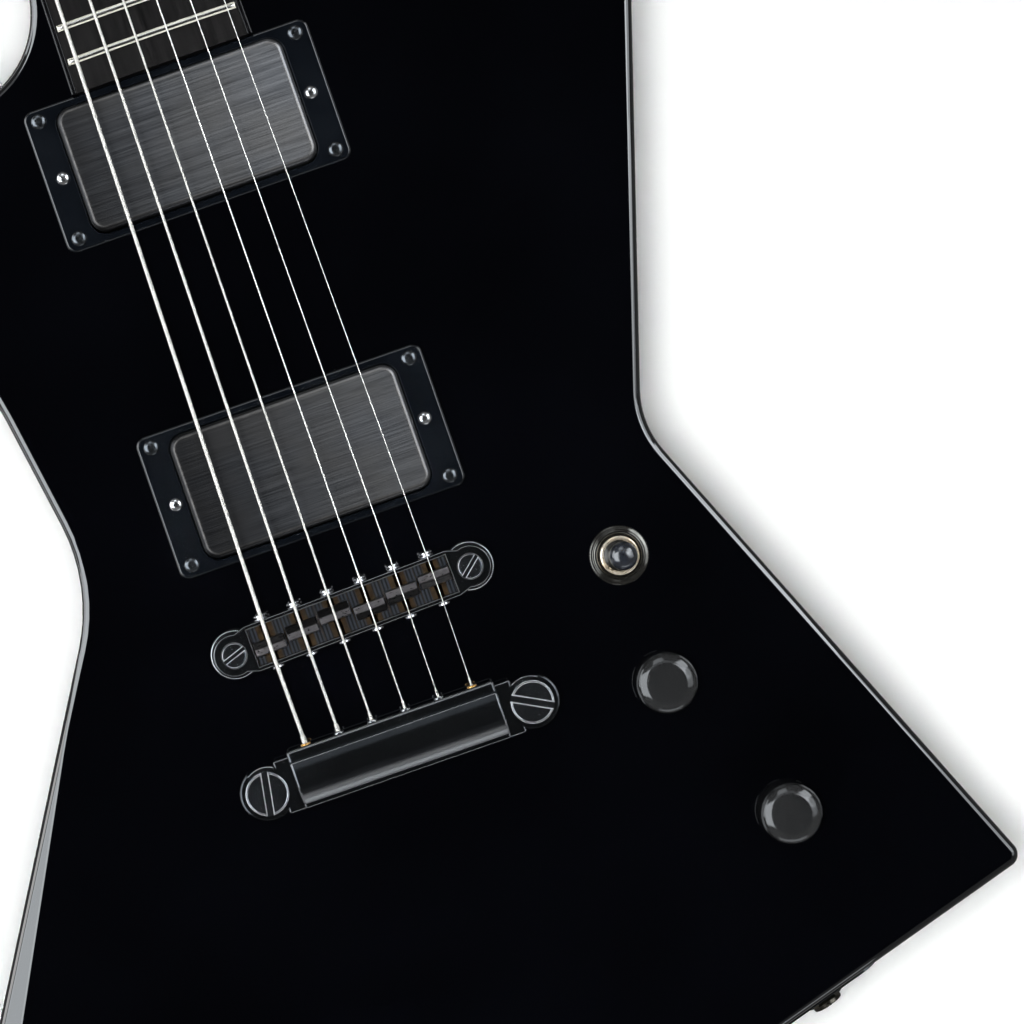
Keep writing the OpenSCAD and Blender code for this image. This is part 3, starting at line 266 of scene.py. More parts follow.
def slab(corners, z0, z1, top=0.0, bottom=0.0, segments=4, step=radians(7), at=None):
    """A plate with rounded corners, and its upper and lower edges rounded."""
    return loft(rim(corners, z0, bottom, segments, down=-1, step=step)[::-1]
                + rim(corners, z1, top, segments, step=step), at=at)


def block(x0, x1, y0, y1, z0, z1, at=None):
    return loft([[(x0, y0, z), (x1, y0, z), (x1, y1, z), (x0, y1, z)] for z in (z0, z1)], at=at)


def tower(levels, at=None):
    """A block whose size changes with height: (half its length, half its width, z) at each level."""
    return loft([[(-x, -y, z), (x, -y, z), (x, y, z), (-x, y, z)] for x, y, z in levels], at=at)


def rod(r, y0, y1, at, sides=20):
    """A cutter or pin along y."""
    return lathe([(r, y0), (r, y1)], sides, at=at @ R(-QUARTER, 4, "X"))


def slot(half_width, z0, z1, angle, soften=0.25):
    """A cutter for a screwdriver slot, wider at the face z1."""
    reach = 12
    return tower([(reach, half_width, z0), (reach, half_width, z1 - 0.9 * soften),
                  (reach, half_width + soften, z1), (reach, half_width + soften, z1 + 2)],
                 at=R(radians(angle), 4, "Z"))


def tube(points, radius, sides, at=None):
    """radius: one for the whole tube, or a list with one for each point."""
    points = [Vector(p) for p in points]
    rings = []
    for k, p in enumerate(points):
        along = (points[min(k + 1, len(points) - 1)] - points[max(k - 1, 0)]).normalized()
        side = along.cross(Vector((0, 0, 1)))
        if side.length < 1e-3:
            side = along.cross(Vector((1, 0, 0)))
        side.normalize()
        up = side.cross(along)
        r = radius[k] if isinstance(radius, list) else radius
        rings.append([p + r * (cos(a) * side + sin(a) * up) for a in angles(sides)[:-1]])
    return loft(rings, at=at)


def coil(radius, wire, z0, pitch, turns, per_turn, sides, at=None):
    """A wire of radius wire, wound round z upwards from z0."""
    points = []
    for k in range(int(turns * per_turn) + 1):
        a = 2 * pi * k / per_turn
        points.append((radius * cos(a), radius * sin(a), z0 + pitch * k / per_turn))
    return tube(points, wire, sides, at)


def to_bmesh(shell, matrix=Matrix.Identity(4)):
    bm = bmesh.new()
    vs = [bm.verts.new(matrix @ v) for v in shell.verts]
    for f in shell.faces:
        if len(set(f)) > 2:
            bm.faces.new([vs[k] for k in f])
    bmesh.ops.remove_doubles(bm, verts=bm.verts, dist=1e-4 * matrix.to_scale().x)
    bmesh.ops.dissolve_degenerate(bm, edges=bm.edges, dist=1e-5 * matrix.to_scale().x)
    bmesh.ops.recalc_face_normals(bm, faces=bm.faces)
    return bm


def from_bmesh(bm):
    """The Shell in bm, which is freed."""
    bm.verts.ensure_lookup_table()
    bm.verts.index_update()
    out = Shell().add([v.co.copy() for v in bm.verts], [[v.index for v in f.verts] for f in bm.faces])
    bm.free()
    return out


def to_mesh(bm, name):
    """The mesh in bm, which is freed."""
    mesh = bpy.data.meshes.new(name)
    bm.to_mesh(mesh)
    bm.free()
    return mesh


def new_object(name, data):
    obj = bpy.data.objects.new(name, data)
    bpy.context.scene.collection.objects.link(obj)
    return obj


def cut(shell, *cutters):
    """shell without the cutters, one after the other."""
    obj, *tools = [new_object("scratch", to_mesh(to_bmesh(part), "scratch")) for part in (shell, *cutters)]
    for tool in tools:
        mod = obj.modifiers.new("cut", "BOOLEAN")
        mod.operation, mod.solver, mod.object = "DIFFERENCE", "EXACT", tool
    bpy.context.view_layer.update()
    result = obj.evaluated_get(bpy.context.evaluated_depsgraph_get())
    mesh = result.to_mesh()
    out = Shell().add([v.co.copy() for v in mesh.vertices], [list(p.vertices) for p in mesh.polygons])
    result.to_mesh_clear()
    for o in [obj] + tools:
        old = o.data
        bpy.data.objects.remove(o)
        bpy.data.meshes.remove(old)
    return out


def round_edges(bm, width, segments, angle, clamp, where=lambda edge: True):
    """Bevels the edges sharper than angle degrees, where they are wanted."""
    edges = [e for e in bm.edges
             if len(e.link_faces) == 2 and e.calc_face_angle(0) > radians(angle) and where(e)]
    bmesh.ops.bevel(bm, geom=edges, offset=width, segments=segments, profile=0.5,
                    affect="EDGES", clamp_overlap=clamp)
    bmesh.ops.recalc_face_normals(bm, faces=bm.faces)


def bevelled(shell, width, segments=2, clamp=False):
    bm = to_bmesh(shell)
    bmesh.ops.dissolve_limit(bm, angle_limit=0.002, verts=bm.verts, edges=bm.edges)
    round_edges(bm, width, segments, 25, clamp)
    return from_bmesh(bm)


# Faces larger than this, in square millimetres, stay flat up to their edges.
FLAT_AREA = 2000


def finish_mesh(bm, name, sharp):
    """A smooth mesh, with hard edges where its faces meet at more than sharp degrees."""
    for f in bm.faces:
        f.smooth = True
    flat = {f for f in bm.faces if f.calc_area() > FLAT_AREA * MM * MM}
    for e in bm.edges:
        broad = sum(f in flat for f in e.link_faces)
        e.smooth = not (len(e.link_faces) == 2
                        and (e.calc_face_angle(0) > radians(sharp)
                             or broad == 1 or broad == 2 and e.calc_face_angle(0) > 1e-3))
    return to_mesh(bm, name)


def place(name, mesh, body, look, replaces=()):
    obj = new_object(name, mesh)
    mesh.materials.append(look.material)
    mod = obj.modifiers.new("normals", "WEIGHTED_NORMAL")
    mod.keep_sharp = True
    mod.weight = 90
    if body:
        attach(obj, body)
    if replaces:
        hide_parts(*replaces)
    return obj


def make(node, shell, look, body="guitar", sharp=38):
    """The piece that takes a CAD node's place."""
    name = node + "_finish"
    return place(name, finish_mesh(to_bmesh(shell, DRAW), name, sharp), body, look, [node])


def add(name, shell, look, body="guitar", sharp=38):
    """A piece that the CAD doesn't have."""
    return place(name, finish_mesh(to_bmesh(shell, DRAW), name, sharp), body, look)


def refine(node, look, width, segments=2, angle=60):
    """A copy of a CAD node's mesh with its sharp edges rounded by width, in millimetres."""
    bm = bmesh.new()
    bm.from_mesh(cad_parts[node].data)
    bmesh.ops.remove_doubles(bm, verts=bm.verts, dist=2e-6)
    bmesh.ops.dissolve_limit(bm, angle_limit=radians(0.6), verts=bm.verts, edges=bm.edges)
    round_edges(bm, width * MM, segments, angle, True)
    place(node + "_finish", finish_mesh(bm, node + "_finish", 38), "guitar", look, [node])


def paint(obj, name, value_at):
    """A point attribute, which the piece's Look may read: value_at gives it for each point."""
    values = [value_at(v.co) for v in obj.data.vertices]
    obj.data.attributes.new(name, "FLOAT", "POINT").data.foreach_set("value", values)


# ---- materials

class Graph:
    """The shader nodes of a material or of the world."""

    def __init__(self, owner):
        owner.use_nodes = True
        self.tree = owner.node_tree
        self.tree.nodes.clear()

    def node(self, kind):
        return self.tree.nodes.new("ShaderNode" + kind)

    def link(self, a, b):
        self.tree.links.new(a, b)

    def feed(self, value, socket):
        """Links an output to the socket, or sets a number or vector on it."""
        if isinstance(value, bpy.types.NodeSocket):
            self.link(value, socket)
        else:
            socket.default_value = value

    def math(self, kind, a, b, node="Math"):
        node = self.node(node)
        node.operation = kind
        self.feed(a, node.inputs[0])
        self.feed(b, node.inputs[1])
        return node.outputs["Value"]

    def span(self, fac, low, high, to_low, to_high, smooth=False):
        """fac from low to high, mapped to the range from to_low to to_high and kept inside it."""
        node = self.node("MapRange")
        node.interpolation_type = "SMOOTHSTEP" if smooth else "LINEAR"
        for name, value in zip(("Value", "From Min", "From Max", "To Min", "To Max"),
                               (fac, low, high, to_low, to_high)):
            self.feed(value, node.inputs[name])
        return node.outputs[0]

    def ramp(self, fac, dark, light, low=0.32, high=0.68):
        ramp = self.node("ValToRGB")
        for stop, position, colour in zip(ramp.color_ramp.elements, (low, high), (dark, light)):
            stop.position, stop.color = position, (*colour, 1)
        self.link(fac, ramp.inputs[0])
        return ramp.outputs[0]

    def axis(self, vector, name):
        node = self.node("SeparateXYZ")
        self.link(vector, node.inputs[0])
        return node.outputs[name]

    def emission(self, strength):
        node = self.node("Emission")
        self.link(strength, node.inputs["Strength"])
        return node.outputs[0]

    def joined(self, kind, *inputs):
        """The output of a MixShader or AddShader node."""
        node = self.node(kind)
        for value, socket in zip(inputs, node.inputs):
            self.link(value, socket)
        return node.outputs[0]


class Look(Graph):
    """A Principled material whose colour, roughness and bump come from noise in object space.

    slot: the record's slot, if it isn't the material's name; it is stored on the Look and not used. rough:
    its least and most roughness.
    bump: (depth, feature size) or (depth, feature size, stretch), in millimetres.
    """

    def __init__(self, name, dark, light, rough, slot=None, *, size, metallic=0.0, ior=1.5,
                 specular=0.5, coat=0.0, coat_rough=0.03, stretch=(1, 1, 1), detail=4.0, bump=None):
        self.material = bpy.data.materials.new(name)
        super().__init__(self.material)
        self.slot = slot or name
        self.shader = self.node("BsdfPrincipled")
        self.link(self.shader.outputs[0], self.node("OutputMaterial").inputs[0])
        values = {"Metallic": metallic, "IOR": ior, "Specular IOR Level": specular}
        if coat:
            values.update({"Coat Weight": coat, "Coat Roughness": coat_rough, "Coat IOR": 1.6})
        for socket, value in values.items():
            self.shader.inputs[socket].default_value = value
        self.where = self.node("TexCoord").outputs["Object"]
        self.noise = self.grain(size, stretch, detail)
        self.recolour(self.ramp(self.noise, dark, light))
        self.link(self.span(self.noise, 0.3, 0.7, *rough), self.shader.inputs["Roughness"])
        self.height = None
        if bump:
            depth, *feature = bump
            self.bump(self.grain(*feature, detail=3.0), depth)

    def grain(self, size, stretch=(1, 1, 1), detail=4.0):
        """Noise with features about size millimetres long, shortened by stretch."""
        mapping = self.node("Mapping")
        mapping.inputs["Scale"].default_value = stretch
        self.link(self.where, mapping.inputs["Vector"])
        noise = self.node("TexNoise")
        noise.inputs["Scale"].default_value = 1 / (size * MM)
        noise.inputs["Detail"].default_value = detail
        self.link(mapping.outputs[0], noise.inputs["Vector"])
        return noise.outputs["Fac"]

    def stripes(self, axis, pitch):
        """Waves across an axis, one every pitch millimetres."""
        wave = self.node("TexWave")
        wave.bands_direction = axis
        wave.inputs["Scale"].default_value = 2 * pi / 20 / (pitch * MM)
        self.link(self.where, wave.inputs["Vector"])
        return wave.outputs["Fac"]

    def painted(self, name):
        """What paint() wrote on the piece under this name."""
        node = self.node("Attribute")
        node.attribute_name = name
        return node.outputs["Fac"]

    def mix(self, fac, a, b):
        """a where fac is 0, and b, an output or a colour, where it is 1."""
        node = self.node("Mix")
        node.data_type = "RGBA"
        self.link(fac, node.inputs[0])
        self.link(a, node.inputs[6])
        self.feed((*b, 1) if isinstance(b, tuple) else b, node.inputs[7])
        return node.outputs[2]

    def bump(self, height, depth):
        """Relief of depth millimetres, on top of any that is there."""
        node = self.node("Bump")
        node.inputs["Distance"].default_value = depth * MM
        node.inputs["Strength"].default_value = 1.0
        self.link(height, node.inputs["Height"])
        if self.height is not None:
            self.link(self.height, node.inputs["Normal"])
        self.height = node.outputs[0]
        self.link(self.height, self.shader.inputs["Normal"])

    def recolour(self, colour):
        self.colour = colour
        self.link(colour, self.shader.inputs["Base Color"])

    def worn_edge_highlight(self, colour, metallic, highlight_metallic):
        """A lighter, duller line where the surface leans about 20 to 55 degrees off the face: worn edges and
        a painted highlight.
        """
        lean = self.math("DOT_PRODUCT", self.node("TexCoord").outputs["Normal"], (0, -1, 0), "VectorMath")
        line = self.math("MULTIPLY", self.span(lean, 0.53, 0.643, 0, 1), self.span(lean, 0.956, 0.914, 0, 1))
        self.recolour(self.mix(line, self.colour, colour))
        self.link(self.span(line, 0, 1, metallic, highlight_metallic), self.shader.inputs["Metallic"])

    def specks(self, size, share, colour):
        """Sparse dust."""
        cells = self.node("TexVoronoi")
        cells.inputs["Scale"].default_value = 1 / (size * MM)
        self.link(self.where, cells.inputs["Vector"])
        near = self.math("LESS_THAN", cells.outputs["Distance"], share)
        patch = self.math("GREATER_THAN", self.grain(30, detail=2.0), 0.56)
        self.recolour(self.mix(self.math("MULTIPLY", near, patch), self.colour, colour))


LACQUER = Look("body_lacquer", (0.0005, 0.0006, 0.0012), (0.001, 0.0012, 0.0021), (0.04, 0.07),
               coat=1.0, coat_rough=0.02, size=60, bump=(0.0012, 6))
LACQUER.specks(9, 0.01, (0.02, 0.02, 0.022))
NECK_LACQUER = Look("neck_lacquer", (0.0014, 0.0016, 0.0024), (0.0026, 0.003, 0.004), (0.16, 0.22),
                    specular=0.1, coat=0.1, size=40, bump=(0.0012, 6))
EBONY = Look("ebony", (0.0025, 0.0023, 0.0023), (0.0095, 0.0088, 0.0088), (0.4, 0.55), specular=0.08,
             size=14, stretch=(9, 9, 0.7), detail=8, bump=(0.03, 1.2, (3, 3, 0.15)))
BINDING_LOOK = Look("binding", (0.003, 0.003, 0.0035), (0.006, 0.006, 0.007), (0.06, 0.1),
                    specular=0.35, size=5)
FRET_WIRE = Look("fret_wire", (0.55, 0.54, 0.5), (0.72, 0.7, 0.66), (0.12, 0.24), metallic=1.0,
                 size=3, stretch=(1, 4, 8))
# lighter lines where the crowns lean off the face: worn wire and a painted highlight
FRET_WIRE.worn_edge_highlight((0.8, 0.78, 0.68), 1.0, 0.3)
NUT_LOOK = Look("nut_graphite", (0.01, 0.01, 0.01), (0.02, 0.02, 0.02), (0.4, 0.55), size=1)
DOT = Look("side_dot", (0.6, 0.59, 0.55), (0.75, 0.74, 0.7), (0.3, 0.4), "binding", size=1)

GLOSS_PLASTIC = Look("gloss_black_plastic", (0.004, 0.004, 0.005), (0.008, 0.008, 0.009),
                     (0.1, 0.18), size=8)
RING_PLASTIC = Look("ring_plastic", (0.0018, 0.0026, 0.0042), (0.0034, 0.0048, 0.0072), (0.1, 0.16),
                    ior=1.65, size=14, bump=(0.002, 2.5))
MATTE_PLASTIC = Look("matte_black_plastic", (0.008, 0.008, 0.009), (0.014, 0.014, 0.015),
                     (0.42, 0.55), size=2, bump=(0.02, 0.6))
KNOB_LOOK = Look("knob_plastic", (0.0142, 0.0149, 0.0156), (0.0178, 0.0185, 0.0192), (0.09, 0.12),
                 ior=1.62, size=9, detail=2)
TIP = Look("switch_tip", (0.008, 0.01, 0.016), (0.014, 0.017, 0.025), (0.16, 0.22), ior=1.7,
           coat=0.6, coat_rough=0.14, size=2)
BATTERY_LOOK = Look("battery_case", (0.25, 0.03, 0.02), (0.32, 0.05, 0.03), (0.3, 0.4), size=6)
CORE_LOOK = Look("pickup_core", (0.01, 0.009, 0.008), (0.02, 0.017, 0.015), (0.5, 0.6), size=3)

HARDWARE, BRIDGE_METAL = (
    Look(name, (0.04, 0.044, 0.049), (0.052, 0.057, 0.063), (0.1, 0.14), "black_hardware",
         metallic=0.93, size=9, detail=2) for name in ("black_hardware", "bridge_hardware"))
# lighter lines on the leaning edges: wear and a painted highlight
BRIDGE_METAL.worn_edge_highlight((0.13, 0.135, 0.142), 0.93, 0.45)
POLISHED = Look("polished_hardware", (0.13, 0.142, 0.158), (0.18, 0.195, 0.215), (0.1, 0.15),
                "black_hardware", metallic=0.95, size=6, detail=2)
# lighter lines on the leaning edges: wear and a painted highlight
POLISHED.worn_edge_highlight((0.5, 0.51, 0.53), 0.95, 0.35)
SCREW_BLACK = Look("black_screws", (0.07, 0.077, 0.086), (0.13, 0.14, 0.15), (0.16, 0.26),
                   metallic=0.95, size=1.5)
TUNER_METAL = Look("tuner_metal", (0.03, 0.031, 0.034), (0.05, 0.052, 0.056), (0.14, 0.24),
                   metallic=1.0, size=4)
POST_METAL = Look("tuner_post_metal", (0.03, 0.031, 0.034), (0.05, 0.052, 0.056), (0.16, 0.26),
                  metallic=1.0, size=3)
STEEL = Look("bright_steel", (0.62, 0.62, 0.63), (0.8, 0.8, 0.81), (0.12, 0.24), metallic=1.0, size=1.5)
INNER_STEEL = Look("inner_steel", (0.3, 0.3, 0.3), (0.45, 0.45, 0.45), (0.3, 0.45), metallic=1.0, size=4)
JACK_METAL = Look("jack_metal", (0.05, 0.047, 0.04), (0.1, 0.09, 0.075), (0.2, 0.3), "inner_steel",
                  metallic=1.0, size=3)
NUT_METAL = Look("jack_nut_metal", (0.09, 0.085, 0.07), (0.2, 0.18, 0.13), (0.14, 0.22),
                 "bright_steel", metallic=1.0, size=2)
BRASS = Look("brass", (0.62, 0.33, 0.09), (0.85, 0.52, 0.2), (0.24, 0.36), "inner_steel",
             metallic=0.8, size=1)
SWITCH_METAL = Look("switch_metal", (0.72, 0.56, 0.36), (0.94, 0.9, 0.82), (0.2, 0.28),
                    metallic=0.65, size=5)
SWITCH_RING = Look("switch_ring", (0.1, 0.0975, 0.09), (0.14, 0.136, 0.125), (0.08, 0.11),
                   metallic=0.95, size=2)

# Intonation screws, with painted shade along their thread inside the channel, tinted brown
SCREW_STEEL = Look("intonation_steel", (0.5, 0.5, 0.52), (0.74, 0.74, 0.76), (0.14, 0.24),
                   "bright_steel", metallic=1.0, size=1.5)
SCREW_STEEL.recolour(SCREW_STEEL.mix(SCREW_STEEL.painted("shaded_thread"), SCREW_STEEL.colour,
                                     (0.05, 0.035, 0.02)))

# The floor of the bridge's channel, painted with reflections: brown under the strings, blue-grey between
# them, with light and dark stripes that paint the shading of ribs
REFLECTION_LINER = Look("bridge_floor_painted_reflections", (0.014, 0.0078, 0.0025), (0.033, 0.019, 0.006), (0.4, 0.5),
             "black_hardware", specular=0.15, size=2, detail=3)
REFLECTION_LINER.recolour(REFLECTION_LINER.mix(REFLECTION_LINER.painted("between"), REFLECTION_LINER.colour,
                         REFLECTION_LINER.ramp(REFLECTION_LINER.stripes("X", 1.1), (0.003, 0.0038, 0.005),
                                    (0.021, 0.025, 0.033))))

# Saddles, with a painted highlight: paler on their crests' tops
SADDLE = Look("saddle_metal", (0.02, 0.02, 0.021), (0.045, 0.042, 0.041), (0.26, 0.36),
              metallic=0.9, size=1.2, stretch=(1, 1, 3))
SADDLE.recolour(SADDLE.mix(SADDLE.painted("crest"), SADDLE.colour,
                           SADDLE.ramp(SADDLE.noise, (0.15, 0.141, 0.145), (0.2, 0.189, 0.194))))

PLAIN = Look("plain_string", (0.86, 0.85, 0.81), (0.94, 0.93, 0.89), (0.22, 0.3), metallic=0.36, size=2)
WOUND = Look("wound_string", (0.8, 0.78, 0.73), (0.92, 0.9, 0.85), (0.3, 0.4), metallic=0.6, size=2)
WINDING_PITCH = 0.36
WOUND.bump(WOUND.stripes("Z", WINDING_PITCH), 0.05)

# Brushed covers, with a rubbed line along their top edges that is also a painted highlight, and painted
# shade that darkens them towards the bass side and the bridge
COVER = Look("pickup_metal", (0.163, 0.166, 0.178), (0.248, 0.25, 0.26), (0.32, 0.42), metallic=1.0,
             size=10, stretch=(0.5, 8, 30), detail=6, bump=(0.003, 8, (0.25, 8, 24)))
# a worn, brighter line along the top edge, which is also a painted highlight
rub_and_highlight = COVER.math("MULTIPLY", COVER.painted("edge"),
                 COVER.span(COVER.grain(3, (1, 1, 2)), 0.3, 0.65, 0.35, 1.0))
patina_and_shade = COVER.mix(COVER.span(COVER.grain(22, (1, 1, 1.4), 3), 0.35, 0.65, 0, 0.6), COVER.colour,
                   (0.217, 0.205, 0.195))
# painted shade: darker towards the bass side and towards the bridge pickup
lit = COVER.math("MULTIPLY", COVER.span(COVER.axis(COVER.where, "X"), -0.034, 0.026, 0.16, 1),
                 COVER.span(COVER.axis(COVER.where, "Z"), 0.05, 0.15, 0.72, 1))
patina_and_shade = COVER.mix(COVER.math("SUBTRACT", 1, lit), patina_and_shade, (0.004, 0.004, 0.005))
COVER.recolour(COVER.mix(rub_and_highlight, patina_and_shade, (0.24, 0.222, 0.206)))


# ---- body

RIM, RIM_STEPS = 2.3, 8
CREASE = 0.5


def arm_drop(p):
    """How far the forearm bevel lies under the face at p."""
    along = (ARM_TO - ARM_FROM).normalized()
    out = (p.x - ARM_FROM.x) * along.y - (p.y - ARM_FROM.y) * along.x
    run = (p.x - ARM_FROM.x) * along.x + (p.y - ARM_FROM.y) * along.y
    slope = tan(ARM_SLOPE)
    if out <= -CREASE or run <= 0:
        return 0.0
    drop = slope * (out + CREASE) ** 2 / 4 / CREASE if out < CREASE else slope * out
    return drop * smooth(run / 8)


def body():
    """The slab with its pockets and holes, a rounded rim and the forearm bevel."""
    tools = []
    for y, _ in PICKUPS.values():
        tools.append(slab(box_corners(COVER_L + 1, COVER_W + 1, COVER_CORNER), 20, 50, at=T((0, y, 0))))
        tools.append(slab(box_corners(2 * EAR_X + 9.4, 13, 2), 20, 50, at=T((0, y, 0))))
    tools.append(slab(CAVITY, -5, 38))
    tools.append(slab(grown(CAVITY, 6), -5, 2.4))
    for (x, y), r in [(SWITCH, 5.9)] + [(k, 4.7) for k in KNOBS]:
        tools.append(lathe([(r, -5), (r, 60)], 32, at=T((x, y, 0))))
    # the rounded rim's outlines, made as flat bands and bent down once the holes are cut
    corners = [(x, y, max(r, RIM + 0.3)) for x, y, r in BODY_OUTLINE]
    turn = angles(RIM_STEPS, QUARTER)
    lines = [rounded(grown(corners, -RIM * (1 - cos(a)))) for a in turn]
    plain = loft([flat_ring(line, 0) for line in lines[:0:-1]]
                 + [flat_ring(lines[0], z) for z in (RIM, BODY_T - RIM)]
                 + [flat_ring(line, BODY_T) for line in lines[1:]])
    bm = to_bmesh(cut(plain, *tools))
    tree = KDTree(sum(len(line) for line in lines[1:]))
    fall = []
    for line, a in zip(lines[1:], turn[1:]):
        for p in line:
            tree.insert((p.x, p.y, 0), len(fall))
            fall.append(RIM * (1 - sin(a)))
    tree.balance()
    edge = set()
    for v in bm.verts:
        if min(v.co.z, BODY_T - v.co.z) < 0.01:
            _, which, away = tree.find((v.co.x, v.co.y, 0))
            if away < 0.01:
                edge.add(v)
                share = 1 - 0.65 * smooth(arm_drop(v.co) / 4)
                v.co.z += fall[which] if v.co.z < RIM else -fall[which] * share
    inner = [v for v in bm.verts if v not in edge]
    bmesh.ops.dissolve_limit(bm, angle_limit=0.001, verts=inner,
                             edges=[e for e in bm.edges if all(v not in edge for v in e.verts)])

    # finer faces along the forearm bevel's crease
    along = (ARM_TO - ARM_FROM).normalized()
    out = Vector((along.y, -along.x))

    def slice_at(at, normal, run):
        faces = [f for f in bm.faces
                 if (f.calc_center_median().to_2d() - ARM_FROM).dot(along) > run]
        geom = set(faces) | {v for f in faces for v in f.verts} | {e for f in faces for e in f.edges}
        bmesh.ops.bisect_plane(bm, geom=list(geom), plane_co=(at.x, at.y, 0),
                               plane_no=(normal.x, normal.y, 0), dist=1e-4)

    slice_at(ARM_FROM, along, -1e6)
    for k in range(-4, 5):
        slice_at(ARM_FROM + out * (CREASE * k / 4), out, 0)
    for v in bm.verts:
        if v.co.z > BODY_T - RIM - 0.01:
            v.co.z -= arm_drop(v.co)
    make("body", from_bmesh(bm), LACQUER)


body()


# ---- neck

NECK_SIDES = 40


def neck_ring(y):
    """The neck's section at y, rounder along the neck and squarer at the heel."""
    depth = (NECK_D + NECK_SWELL * (1 - y / NUT_Y)
             + (HEEL_D - NECK_D - NECK_SWELL) * smooth(1 - y / HEEL_LEN))
    power = 0.8 - 0.55 * smooth(1 - y / HEEL_LEN)
    return [(half_board(y) * cos(a), y, -depth * sin(a) ** power) for a in angles(NECK_SIDES, pi)]


def neck():
    """The tenon, the neck and its run under the head, and the head with its edges rounded."""
    shell = Shell()
    under = -HEEL_D + 1
    shell.join(loft([[(half_board(y) * s, y, z) for s, z in ((-1, 0), (-1, under), (1, under), (1, 0))]
                     for y in (REAR_Y, 0.5)]), NECK)
    ys = [HEEL_LEN * k / 24 for k in range(25)]
    ys += [HEEL_LEN + (HEAD_Y + 1 - HEEL_LEN) * k / 10 for k in range(1, 11)]
    shell.join(loft([neck_ring(y) for y in ys]), NECK)
    # the back of the neck, running out under the head
    rings = []
    for k in range(13):
        t = k / 12
        width = NUT_W / 2 - 0.4 - 1.0 * t
        depth = NECK_D * (1 - t) + (HEAD_T - 0.3) * t
        rings.append([(width * cos(a), 28 * t, -depth * sin(a) ** (0.8 - 0.5 * t) - 0.2)
                      for a in angles(NECK_SIDES, pi)])
    shell.join(loft(rings), HEAD)
    start = post_at(0) + 12 * EDGE_OUT - 13 * EDGE_DIR
    end = post_at(5) + 12 * EDGE_OUT + 15 * EDGE_DIR
    outline = [(NUT_W / 2, -NUT_T, 0), (NUT_W / 2 - 1.5, 36, 70), (35, 160, 60), (58, 201, 3),
               (27, 189, 18), (end.x, end.y, 6), (start.x, start.y, 7), (-NUT_W / 2, 4, 14),
               (-NUT_W / 2, -NUT_T, 0)]
    blank = slab(outline, -HEAD_T, 0, step=radians(5))
    ramp = R(-atan2(HEAD_T - 2, 24), 4, "X")
    bm = to_bmesh(cut(blank, block(-80, 80, -20, 0.02, -40, 10),
                      block(-60, 60, -20, 27, -30, 0, at=T((0, 0, -2)) @ ramp)))
    bmesh.ops.dissolve_limit(bm, angle_limit=0.01, verts=bm.verts, edges=bm.edges)
    round_edges(bm, 1.6, 4, 30, False, lambda edge: min(v.co.y for v in edge.verts) > 0.5)
    shell.join(from_bmesh(bm), HEAD)
    make("neck", shell, NECK_LACQUER)


neck()


def frets():
    """Crowned wires whose ends are rounded off in two steps."""
    shell = Shell()
    for n in range(1, FRETS + 1):
        y = fret_y(n)
        half = half_board(y) - BINDING - 0.3
        ends = [(half, 0.35), (half - 0.25, 0.75), (half - 0.7, 1.0)]
        rings = []
        for x, rise in ([(-x, rise) for x, rise in ends] + [(half * k / 10, 1.0) for k in range(-9, 10)]
                        + ends[::-1]):
            top = BOARD_T + sqrt(BOARD_R ** 2 - x * x) - BOARD_R
            crown = [(x, y - FRET_W / 2 * cos(a), top + 0.1 + rise * sin(a) ** 0.8)
                     for a in angles(16, pi)]
            rings.append([(x, y - FRET_W / 2, top - 0.4)] + crown + [(x, y + FRET_W / 2, top - 0.4)])
        shell.join(loft(rings), NECK)
    make("frets", shell, FRET_WIRE, sharp=50)


frets()


def side_dots():
    """Dots between the frets on the bass side, two of them at the twelfth."""
    spots = []
    for n in (3, 5, 7, 9, 12, 15, 17, 19, 21):
        y = (fret_y(n) + fret_y(n - 1)) / 2
        spots += [y - 3.5, y + 3.5] if n == 12 else [y]
    dot = lathe([(0, 0), (0.95, 0), (0.95, 0.31), (0.8, 0.36), (0, 0.37)], 20)
    places = [NECK @ T((-half_board(y) + 0.3, y, BOARD_T / 2 - 0.4)) @ R(-QUARTER, 4, "Y") for y in spots]
    add("side_dots", copies(dot, places), DOT)


side_dots()


# ---- pickups

def cover_rub_and_highlight(co, y):
    """1 along a cover's rounded top edge at the point co, fading inwards from it: a rubbed line that is also
    a painted highlight, stronger towards the treble side.
    """
    across, along = co.x / MM, co.z / MM - y
    qx, qy = abs(across) - COVER_L / 2 + COVER_CORNER, abs(along) - COVER_W / 2 + COVER_CORNER
    inside = COVER_CORNER - hypot(max(qx, 0), max(qy, 0)) - min(max(qx, qy), 0)
    line = exp(-((inside - 1.3) / 0.28) ** 2)
    side = 0.45 + 0.55 * smooth((across - 20) / 20)
    fade = 0.12 * smooth(1 - (inside - 1.3) / 1.5) * side if inside > 1.3 else 0
    return max(line * side, fade)


def cover(name):
    y, ring_h = PICKUPS[name]
    top = BODY_T + ring_h + COVER_PROUD
    corners = box_corners(COVER_L, COVER_W, COVER_CORNER)
    outer = [level(corners, top - PICKUP_H)] + rim(corners, top, 1.5, 8)
    outer += [level(corners, top, -d) for d in (1.65, 1.8, 2.1, 2.5, 3.2, 4.2)]
    inner = [level(corners, z, -d) for d, z in ((2.1, top - 0.6), (0.6, top - 2), (0.6, top - PICKUP_H))]
    shell = loft(inner + outer, at=T((0, y, 0)))
    piece = make(name + "_pickup_cover", shell, COVER, name + "_pickup_body")
    # the rubbed edge line, which is also a painted highlight
    paint(piece, "edge", lambda co: cover_rub_and_highlight(co, y))


